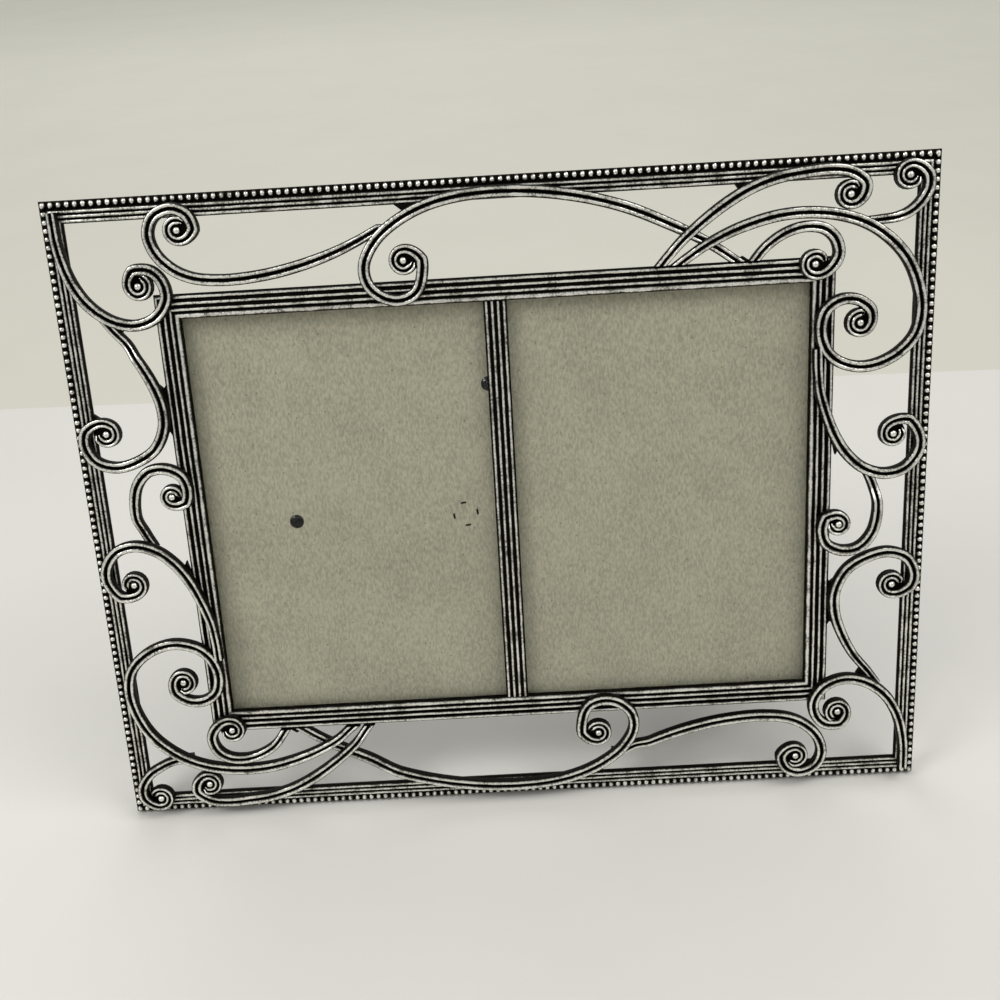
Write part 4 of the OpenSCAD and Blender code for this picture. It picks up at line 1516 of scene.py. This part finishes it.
@dataclass(frozen=True)
class Hanger:
    """A wall hanger: rivet, strap with a rolled loop, and a ring whose straight bar lies in the loop."""

    word: str
    at: Pair
    turn: float
    swing: float
    sizes: Sizes = SIZES
    strap_w: float = 8.0
    strap_l: float = 9.6
    strap_t: float = 0.6
    ring_r: float = 6.0
    bar_r: float = 0.85
    bow_r: float = 0.7
    corner: float = 2.4
    edge: float = 0.14
    play: float = 0.08
    chamfer: float = 0.15

    @property
    def place(self) -> Matrix:
        """Place of the hanger on the board."""
        return Matrix.Translation((self.at[0], 0.0, self.at[1])) @ turned(self.turn, "Y")

    @property
    def loop_y(self) -> float:
        """Depth of the loop's middle."""
        return self.sizes.rail_back + self.strap_t + self.sizes.run + self.bow_r

    def strap(self) -> Shape:
        """Model the strap: a pressed plate with a round end and a rolled loop."""
        s = self.sizes
        shape = Shape()
        half = self.strap_w / 2
        front = s.rail_back + s.seat
        outer = self.loop_y - s.rail_back - 2 * s.seat
        plate = shape.box((-half, front, -half), (half, front + self.strap_t, self.strap_l), 0.5)
        corners = [
            edge
            for edge in edges_of(plate)
            if all(vert.co.z < -half + 0.01 for vert in edge.verts)
            and abs(edge.verts[0].co.y - edge.verts[1].co.y) > 0.1
        ]
        plate = shape.round_edges(corners, self.corner, 5)
        rims = [
            edge
            for edge in edges_of(plate)
            if edge.calc_face_angle(0.0) > 1.2 and all(vert.co.y > front + 0.1 for vert in edge.verts)
        ]
        plate = shape.round_edges(rims, self.edge)
        shape.move(plate, self.place)
        inner = self.bar_r + self.play
        cut = self.chamfer
        tube = [(inner, -half), (outer - cut, -half), (outer, -half + cut), (outer, half - cut)]
        tube += [(outer - cut, half), (inner, half), (inner, -half)]
        lie = Matrix.Translation((0, self.loop_y, self.strap_l)) @ turned(90, "Y")
        shape.lathe(tube, self.place @ lie, 28)
        return shape

    def ring(self) -> Shape:
        """Model the ring: a straight bar and a round bow, its ends let into the bar."""
        shape = Shape()
        hang = self.place @ Matrix.Translation((0, self.loop_y, self.strap_l)) @ turned(self.swing, "X")
        reach = self.ring_r + self.bar_r
        shape.rod(self.bar_r, (-reach, 0, 0), (reach, 0, 0), 20, 0.5, 0.25, matrix=hang)
        wire = bmesh.ops.create_circle(
            shape.bm, radius=self.bow_r, segments=14, matrix=Matrix.Translation((self.ring_r, 0, 0))
        )["verts"]
        bmesh.ops.spin(
            shape.bm, geom=wire + edges_of(wire), cent=(0, 0, 0), axis=(0, 1, 0), angle=math.pi, steps=26
        )
        bow = list(shape.connected(wire))
        rims = [edge for edge in shape.bm.edges if edge.is_boundary]
        bmesh.ops.holes_fill(shape.bm, edges=rims, sides=0)
        if sum(vert.co.z for vert in bow) > 0:
            shape.move(bow, turned(180, "X"))
        shape.move(bow, hang)
        return shape

    def build(self, shop: Workshop) -> None:
        """Build and dress the hanger."""
        word = self.word
        rivet = Rivet().shape(self.place)
        ring = f"ring_{word}"
        shop.piece(f"domed_rivet_{word}", rivet, Finish.RIVET, [f"rivet_{word}"])
        shop.piece(f"hanger_strap_{word}", self.strap(), Finish.HARDWARE, [f"strap_{word}"])
        shop.piece(f"hanger_{ring}", self.ring(), Finish.HARDWARE, [ring], f"{ring}_body")


@dataclass(frozen=True)
class TurnButtons:
    """Six turn buttons that hold the board in, each on a slotted screw."""

    sizes: Sizes = SIZES
    reach: float = 14.0
    width: float = 6.0
    thick: float = 0.8
    screw_r: float = 1.2
    head_r: float = 2.4
    head_t: float = 0.9
    sunk: float = 4.0
    rim: Pair = (0.12, 0.08)
    flat: float = 1.0
    boss: Pair = (0.3, 0.14)
    slot: float = 0.3
    slot_turn: float = 0.6

    def places(self) -> dict[str, Matrix]:
        """Each button's place on the rails, with its length along X and Z to the back."""
        s = self.sizes
        off = s.lip_w + (s.rail_w - s.rim_w - s.lip_w) / 2
        x = s.rail_in_x / 2
        spots = {
            "top_left": (-x, s.rail_in_z + off, 90.0),
            "top_right": (x, s.rail_in_z + off, 90.0),
            "bottom_left": (-x, -s.rail_in_z - off, -90.0),
            "bottom_right": (x, -s.rail_in_z - off, -90.0),
            "left": (-s.rail_in_x - off, 0.0, 0.0),
            "right": (s.rail_in_x + off, 0.0, 180.0),
        }
        return {
            word: Matrix.Translation((px, 0.0, pz)) @ turned(turn, "Y") @ TO_BACK
            for word, (px, pz, turn) in spots.items()
        }

    def button(self, place: Matrix) -> Shape:
        """Model one button: a stamped plate with round ends and a raised middle."""
        s = self.sizes
        shape = Shape()
        radius = self.width / 2
        disc = bmesh.ops.create_circle(shape.bm, cap_ends=True, radius=radius, segments=32)["verts"]
        half = [vert for vert in disc if vert.co.x > 0.01]
        shape.move(half, Matrix.Translation((self.reach - self.width, 0, 0)))
        cap = only(shape.pull(shape.bm.faces[:], lift(self.thick)), BMFace)
        for width, rise in (self.rim, (self.flat, 0.0), self.boss):
            bmesh.ops.inset_region(shape.bm, faces=cap, thickness=width, depth=0.0)
            shape.move({vert for face in cap for vert in face.verts}, lift(rise))
        shape.paint(shape.bm.verts, 0.5)
        shape.place(place @ lift(s.rail_back + s.run))
        return shape

    def screw(self, shape: Shape, place: Matrix) -> None:
        """Add one screw: a domed head with a slot, and its shank in the rail."""
        s = self.sizes
        under = s.rail_back + self.thick + 2 * s.run
        shape.rod(self.screw_r, (0, 0, s.rail_back - self.sunk), (0, 0, under + 0.2), 16, matrix=place)
        seat = [(0.0, 0.0), (self.head_r, 0.0), (self.head_r, 0.35), (0.0, 0.35)]
        shape.lathe(seat, place @ lift(under), 24)
        dome = [(0.0, 0.3), (self.head_r, 0.3), (self.head_r, 0.45), (2.15, 0.68), (1.5, 0.84)]
        dome.append((0.0, self.head_t))
        for side in (1, -1):
            cap = shape.lathe(dome, lift(under), 24)
            cap = shape.slice(cap, (side * self.slot, 0, 0), (-side, 0, 0))
            shape.move(cap, place @ Matrix.Rotation(self.slot_turn, 4, "Z"))

    def build(self, shop: Workshop) -> None:
        """Build and dress the buttons and their screws."""
        screws = Shape()
        for word, place in self.places().items():
            name = f"button_{word}"
            shop.piece(f"turn_{name}", self.button(place), Finish.HARDWARE, [name], f"{name}_body")
            self.screw(screws, place)
        shop.piece("slotted_screws", screws, Finish.HARDWARE, ["button_screws"])


@dataclass(frozen=True)
class Easel:
    """The two-way easel leg on its diagonal hinge, with the stay ribbon that limits it."""

    sizes: Sizes = SIZES
    at: Pair = SIZES.on_board(-0.135, -0.033)
    reach: float = 9.5
    half_w: float = 12.0
    knuckle_r: float = 1.9
    knuckle_half: float = 5.0
    leaf_t: float = 0.8
    leaf_l: float = 20.0
    pin_r: float = 1.0
    rivet_r: float = 1.3
    opened: float = 35.0
    leg_t: float = 2.8
    top_w: float = 30.0
    foot_w: float = 30.0
    prong_r: float = 5.0
    prong_t: float = 0.8
    prong_arc: float = 27.0
    prong_turn: float = -8.0
    ribbon_w: float = 10.0
    ribbon_t: float = 0.5
    ribbon_reach: float = 92.0
    ribbon_step: float = 1.6
    ribbon_cuts: int = 8
    ribbon_wall: float = 0.4
    rivet_head: float = 1.7
    edge: float = 0.18
    leg_edge: float = 0.35
    play: float = 0.05
    chamfer: float = 0.2

    @property
    def diagonal(self) -> Matrix:
        """Hinge coordinates: X along the leg, Y along the hinge's axis, Z to the back."""
        return Matrix.Translation((self.at[0], 0.0, self.at[1])) @ turned(45, "Y") @ TO_BACK

    @property
    def axis_y(self) -> float:
        """Depth of the hinge's axis."""
        return self.sizes.rail_back + self.knuckle_r + self.sizes.run

    @property
    def axis(self) -> Matrix:
        """Hinge coordinates about the hinge's axis."""
        return self.diagonal @ Matrix.Translation((self.reach, 0.0, self.axis_y))

    @property
    def leg(self) -> Matrix:
        """Leg coordinates of the open leg."""
        return self.axis @ turned(-self.opened, "Y")

    def foot_at(self, reach: float) -> float:
        """Distance along the leg at which it meets the table."""
        lean = math.radians(self.sizes.lean)
        opened = math.radians(self.opened)
        slope = math.cos(opened) * math.cos(lean) / math.sqrt(2) + math.sin(opened) * math.sin(lean)
        return (reach * math.cos(lean) + (self.sizes.border_back - self.axis_y) * math.sin(lean)) / slope

    def foot_wide(self, t: float) -> float:
        """Where the leg meets the table with the frame standing wide."""
        axis_z = self.at[1] - self.reach / math.sqrt(2)
        return self.foot_at(self.sizes.half_h + axis_z - t / math.sqrt(2))

    def foot_tall(self, t: float) -> float:
        """Where the leg meets the table with the frame standing tall."""
        axis_x = self.at[0] + self.reach / math.sqrt(2)
        return self.foot_at(self.sizes.half_w - axis_x + t / math.sqrt(2))

    def knuckle(self, shape: Shape, t0: float, t1: float, place: Matrix) -> None:
        """Add one rolled knuckle along the axis."""
        bore = self.pin_r + self.play
        outer = self.knuckle_r
        cut = self.chamfer
        ring = [(bore, t0), (outer - cut, t0), (outer, t0 + cut), (outer, t1 - cut), (outer - cut, t1)]
        shape.lathe(ring + [(bore, t1), (bore, t0)], place @ TO_BACK, 28)

    def prongs(self, shape: Shape) -> None:
        """Add the plate's four bent prongs, which show as short arcs on the board's front."""
        s = self.sizes
        start = s.board_front - 0.15
        half_t = self.prong_t / 2
        arc = math.radians(self.prong_arc)
        for k in range(4):
            wall = shape.line([(self.prong_r + side * half_t, 0, start) for side in (-1, 1)])
            shape.move(wall, Matrix.Rotation(-arc / 2, 4, "Z"))
            bmesh.ops.spin(
                shape.bm, geom=wall + edges_of(wall), cent=(0, 0, 0), axis=(0, 0, 1), angle=arc, steps=8
            )
            flat = faces_of(shape.connected(wall))
            made = shape.pull(flat, lift(s.rail_back + half_t - start))
            place = Matrix.Translation((self.at[0], 0.0, self.at[1]))
            turn = turned(self.prong_turn - 90 * k, "Y")
            shape.move(shape.connected(only(made, BMVert)), place @ turn @ TO_BACK)

    def hinge(self, shop: Workshop) -> None:
        """Build the hinge's fixed leaf, its prongs and its pin."""
        s = self.sizes
        leaf = Shape()
        inner = self.knuckle_half + s.run
        low = s.rail_back + s.seat
        end = self.reach - self.knuckle_r - 2 * s.run
        top = low + self.leaf_t
        high = self.reach + self.knuckle_r / 2
        leaf.box(
            (-self.reach, -self.half_w, low), (end, self.half_w, top), 0.5, self.edge, self.diagonal
        )
        for t0, t1 in ((-self.half_w, -inner), (inner, self.half_w)):
            leaf.box((end - 1, t0, low), (high, t1, top), 0.5, 0.12, self.diagonal)
            self.knuckle(leaf, t0, t1, self.axis)
        for x, y in ((-5.6, 8.0), (-5.6, -8.0), (3.6, 8.4), (3.6, -8.4)):
            dimple = [(0.0, 0.0), (1.5, 0.0), (1.3, 0.28), (0.8, 0.4), (0.0, 0.44)]
            leaf.lathe(dimple, self.diagonal @ Matrix.Translation((x, y, top - s.seat)), 20)
        shop.piece("hinge_plate", leaf, Finish.HARDWARE, ["hinge_leaf"])
        prongs = Shape()
        self.prongs(prongs)
        shop.piece("plate_prongs", prongs, Finish.RIVET)
        pin = Shape()
        half = self.half_w + self.pin_r / 2
        pin.rod(self.pin_r, (0, -half, 0), (0, half, 0), 20, 0.5, 0.25, matrix=self.axis)
        shop.piece("turned_pin", pin, Finish.HARDWARE, ["hinge_pin"])

    def leg_parts(self, shop: Workshop) -> None:
        """Build the leg's own leaf, its rivets and the covered board of the leg."""
        s = self.sizes
        leaf = Shape()
        inner = self.knuckle_r + s.run
        half_t = self.leaf_t / 2
        self.knuckle(leaf, -self.knuckle_half, self.knuckle_half, self.leg)
        tongue = (inner + s.run, self.knuckle_half, half_t)
        leaf.box((self.pin_r, -self.knuckle_half, -half_t), tongue, 0.5, 0.1, self.leg)
        plate_end = inner + self.leaf_l
        leaf.box(
            (inner, -self.half_w, -half_t), (plate_end, self.half_w, half_t), 0.5, self.edge, self.leg
        )
        shop.piece("leg_hinge_plate", leaf, Finish.HARDWARE, ["leg_leaf"], "leg")
        rivets = Shape()
        head = self.rivet_r * self.rivet_head
        cap = [(0.0, 0.0), (head, 0.0), (head * 0.97, 0.18), (head * 0.7, 0.44), (0.0, 0.56)]
        shank = ((0, 0, -self.leaf_t), (0, 0, self.leg_t + self.leaf_t))
        for t in (-1, 1):
            spot = self.leg @ Matrix.Translation((inner + self.leaf_l * 0.6, t * self.half_w * 0.6, 0))
            rivets.rod(self.rivet_r, *shank, 16, matrix=spot)
            for height, way in ((half_t + self.leg_t + 2 * s.seat, 1), (-half_t - s.seat, -1)):
                rivets.lathe(cap, spot @ lift(height) @ Matrix.Diagonal((1, 1, way, 1)), 24)
        shop.piece("leg_plate_rivets", rivets, Finish.HARDWARE, ["leg_rivets"], "leg")
        shop.piece("covered_leg", self.board(), Finish.LEG, ["easel_leg"], "leg", 30.0)

    def board(self) -> Shape:
        """Model the leg's board: a tapering blade with a foot for each way up, cut to the table."""
        s = self.sizes
        shape = Shape()
        tip = (self.foot_tall(0) - self.foot_wide(0)) / (2 * (self.foot_wide(1) - self.foot_wide(0)))
        near, far = tip + self.foot_w, tip - self.foot_w * 0.85
        start = self.knuckle_r + s.run + self.leaf_l * 0.1
        extra = self.foot_w / 3
        low = self.leaf_t / 2 + s.seat
        outline = [(start, self.top_w / 2), (start, -self.top_w / 2), (self.foot_tall(far) + extra, far)]
        outline += [(self.foot_wide(tip) + extra, tip), (self.foot_wide(near) + extra, near)]
        verts = shape.line([(x, y, low) for x, y in outline], closed=True)
        shape.pull(shape.fill_in(verts), lift(self.leg_t))
        shape.place(self.leg)
        lean = math.radians(s.lean)
        foot = -s.half_h * math.cos(lean) - s.border_back * math.sin(lean)
        down = Vector((0, math.sin(lean), -math.cos(lean)))
        shape.slice(shape.bm.verts[:], -down * foot, down)
        side = -s.half_w * math.cos(lean) - s.border_back * math.sin(lean)
        tall = turned(-90, "Y") @ down
        shape.slice(shape.bm.verts[:], -tall * side, tall)
        edges = [edge for edge in shape.bm.edges if edge.calc_face_angle(0.0) > 0.6]
        shape.round_edges(edges, self.leg_edge)
        shape.paint(shape.bm.verts, 0.3)
        return shape

    def ribbon(self, shop: Workshop) -> None:
        """Build the taut stay ribbon from the board to the leg."""
        s = self.sizes
        opened = math.radians(self.opened)
        lie = -(self.axis_y - s.rail_back) + self.ribbon_t / 2 + 2 * s.seat
        out = Vector((math.cos(opened), 0, math.sin(opened)))
        up = Vector((-math.sin(opened), 0, math.cos(opened))) * (self.leaf_t / 2 - self.ribbon_t / 2)
        end = self.ribbon_reach + self.ribbon_w / 2
        corners = [Vector((end, 0, lie)), Vector((self.ribbon_reach, 0, lie))]
        corners += [self.ribbon_reach * out + up, end * out + up]
        path: list[Vector] = []
        for a, b in zip(corners, corners[1:]):
            count = max(6, round((b - a).length / self.ribbon_step))
            path += [a.lerp(b, k / count) for k in range(count)]
        path.append(corners[-1])
        for _ in range(3):
            path[1:-1] = [(a + 2 * b + c) / 4 for a, b, c in zip(path, path[1:], path[2:])]
        shape = Shape()
        half = self.ribbon_w / 2
        verts = shape.line([point - Vector((0, half, 0)) for point in path])
        edges = edges_of(verts)
        for _ in range(self.ribbon_cuts):
            edges = shape.draw_on(edges, Matrix.Translation((0, self.ribbon_w / self.ribbon_cuts, 0)))
        uv = shape.bm.loops.layers.uv.new("UVMap")
        runs = [0.0]
        for a, b in zip(path, path[1:]):
            runs.append(runs[-1] + (b - a).length)
        length = runs[-1]
        for face in shape.bm.faces:
            for loop in face.loops:
                spot = loop.vert.co
                near = min(
                    zip(path, runs), key=lambda knot: (knot[0].x - spot.x) ** 2 + (knot[0].z - spot.z) ** 2
                )
                loop[uv].uv = (near[1] / length, (spot.y + half) / self.ribbon_w)
        bmesh.ops.recalc_face_normals(shape.bm, faces=shape.bm.faces)
        bmesh.ops.solidify(shape.bm, geom=shape.bm.faces[:], thickness=self.ribbon_wall)
        shape.place(self.axis)
        shape.paint(shape.bm.verts, 0.3)
        piece = shop.piece("stay_tape", shape, Finish.RIBBON, ["stay_ribbon"], sharp=50.0, rides=False)
        stand = STANCE.matrix()
        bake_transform(piece, "frame", "leg", stand @ self.axis @ corners[1], stand @ self.axis @ corners[2])

    def build(self, shop: Workshop) -> None:
        """Build and dress the hinge, the leg and the ribbon."""
        self.hinge(shop)
        self.leg_parts(shop)
        self.ribbon(shop)


@dataclass(frozen=True)
class Studio:
    """The table, the soft lamps and the camera at the photograph's angle."""

    place: Triple = (0.00335, -0.42985, 0.37180)
    right: Triple = (0.99838, -0.00296, -0.05674)
    down: Triple = (-0.05537, -0.27508, -0.95983)
    forward: Triple = (-0.01277, 0.96142, -0.27480)
    lens: float = 40.34
    room: float = 0.8
    room_mirrored: float = 0.62
    shift: float = 0.001
    table: Triple = (0.661, 0.634, 0.60)
    beyond: Triple = (0.595, 0.569, 0.498)
    far_off: Triple = (0.73, 0.70, 0.615)
    sensor: float = 36.0
    edge_slope: float = 0.0388

    def camera(self) -> None:
        """Create the camera where the photograph was taken from."""
        data = bpy.data.cameras.new("camera")
        data.lens = self.lens
        data.shift_y = self.shift
        data.sensor_width = self.sensor
        data.sensor_height = self.sensor
        data.sensor_fit = "HORIZONTAL"
        camera = bpy.data.objects.new("camera", data)
        lean = turned(-SIZES.lean, "X")
        axes = [lean @ Vector(axis) for axis in (self.right, self.down, self.forward)]
        turn = Matrix((axes[0], -axes[1], -axes[2])).transposed().to_4x4()
        camera.matrix_world = Matrix.Translation(self.place) @ turn
        bpy.context.scene.collection.objects.link(camera)
        bpy.context.scene.camera = camera

    def floor(self) -> None:
        """Lay the pale table, and beyond its far edge a warmer surface that is painted lighter further back,
        as painted light on the far backdrop.
        """
        bm = bmesh.new()
        bmesh.ops.create_grid(bm, x_segments=1, y_segments=1, size=8.0)
        mesh = bpy.data.meshes.new("table")
        bm.to_mesh(mesh)
        bm.free()
        table = bpy.data.objects.new("table", mesh)
        paint = Paint("table_paint")
        split = paint.tree.nodes.new("ShaderNodeSeparateXYZ")
        paint.link(paint.coords, split, "Vector")
        slant = paint.maths("MULTIPLY", split.outputs["X"], self.edge_slope)
        edge = paint.maths("ADD", split.outputs["Y"], slant)
        far = paint.spread(edge, 0.3566, 0.3586, 0.0, 1.0)
        clouds = paint.spread(paint.noise(160.0), 0.3, 0.7, 0.0, 0.06)
        # Painted light: the far surface grows lighter the further back it lies.
        distance = paint.spread(edge, 0.36, 2.0, 0.0, 1.0)
        base = paint.mix(far, self.table, paint.mix(distance, self.beyond, self.far_off))
        paint.shade(paint.mix(clouds, base, (0.5, 0.48, 0.42), "MULTIPLY"), "Base Color")
        paint.shade(paint.spread(paint.noise(30.0), 0.3, 0.7, 0.6, 0.7), "Roughness")
        mesh.materials.append(paint.material)
        bpy.context.scene.collection.objects.link(table)

    def lamp(self, name: str, place: Triple, aim: Triple, size: float, watts: float) -> None:
        """Hang one square soft lamp."""
        data = bpy.data.lights.new(name, "AREA")
        data.shape = "SQUARE"
        data.size = size
        data.energy = watts
        lamp = bpy.data.objects.new(name, data)
        turn = (Vector(aim) - Vector(place)).to_track_quat("-Z", "Y").to_matrix().to_4x4()
        lamp.matrix_world = Matrix.Translation(place) @ turn
        bpy.context.scene.collection.objects.link(lamp)

    def light(self) -> None:
        """Light the room: a pale even surround, windows to the left and right above, and one behind."""
        world = bpy.data.worlds.new("room")
        bpy.context.scene.world = world
        world.use_nodes = True
        tree = world.node_tree
        room = tree.nodes["Background"]
        room.inputs["Color"].default_value = (0.86, 0.88, 0.86, 1.0)
        path = tree.nodes.new("ShaderNodeLightPath")
        strength = tree.nodes.new("ShaderNodeMapRange")
        strength.inputs["To Min"].default_value = self.room
        strength.inputs["To Max"].default_value = self.room_mirrored
        tree.links.new(path.outputs["Is Glossy Ray"], strength.inputs["Value"])
        tree.links.new(strength.outputs["Result"], room.inputs["Strength"])
        self.lamp("window_right", (0.75, -0.25, 1.15), (0.0, 0.0, 0.1), 0.7, 6.0)
        self.lamp("window_left", (-0.9, -0.55, 1.1), (0.0, 0.0, 0.1), 0.5, 7.0)
        self.lamp("window_back", (-0.4, 1.9, 1.9), (-0.1, 0.1, 0.0), 1.2, 9.0)

    def build(self) -> None:
        """Set up the whole stage."""
        self.camera()
        self.floor()
        self.light()


def main() -> None:
    """Build the frame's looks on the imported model."""
    logging.basicConfig(level=logging.INFO, format="%(message)s")
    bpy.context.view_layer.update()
    bpy.context.scene.view_settings.view_transform = "Standard"
    Studio().build()
    shop = Workshop()
    ReededBars().build(shop)
    BeadRows().build(shop)
    Scrollwork().build(shop)
    Webs().build(shop)
    Hanger("wide", SIZES.on_board(-0.036, 0.585), 0.0, 15.0).build(shop)
    Hanger("tall", SIZES.on_board(-0.693, -0.025), -90.0, 0.0).build(shop)
    TurnButtons().build(shop)
    Easel().build(shop)
    for node in ("glass_left", "glass_right"):
        shop.dress_node(node, Finish.GLASS)
    shop.dress_node("backing_board", Finish.GREYBOARD)
    shop.dress_node("board_cover", Finish.COVER)


if __name__ == "__main__":
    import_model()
    main()
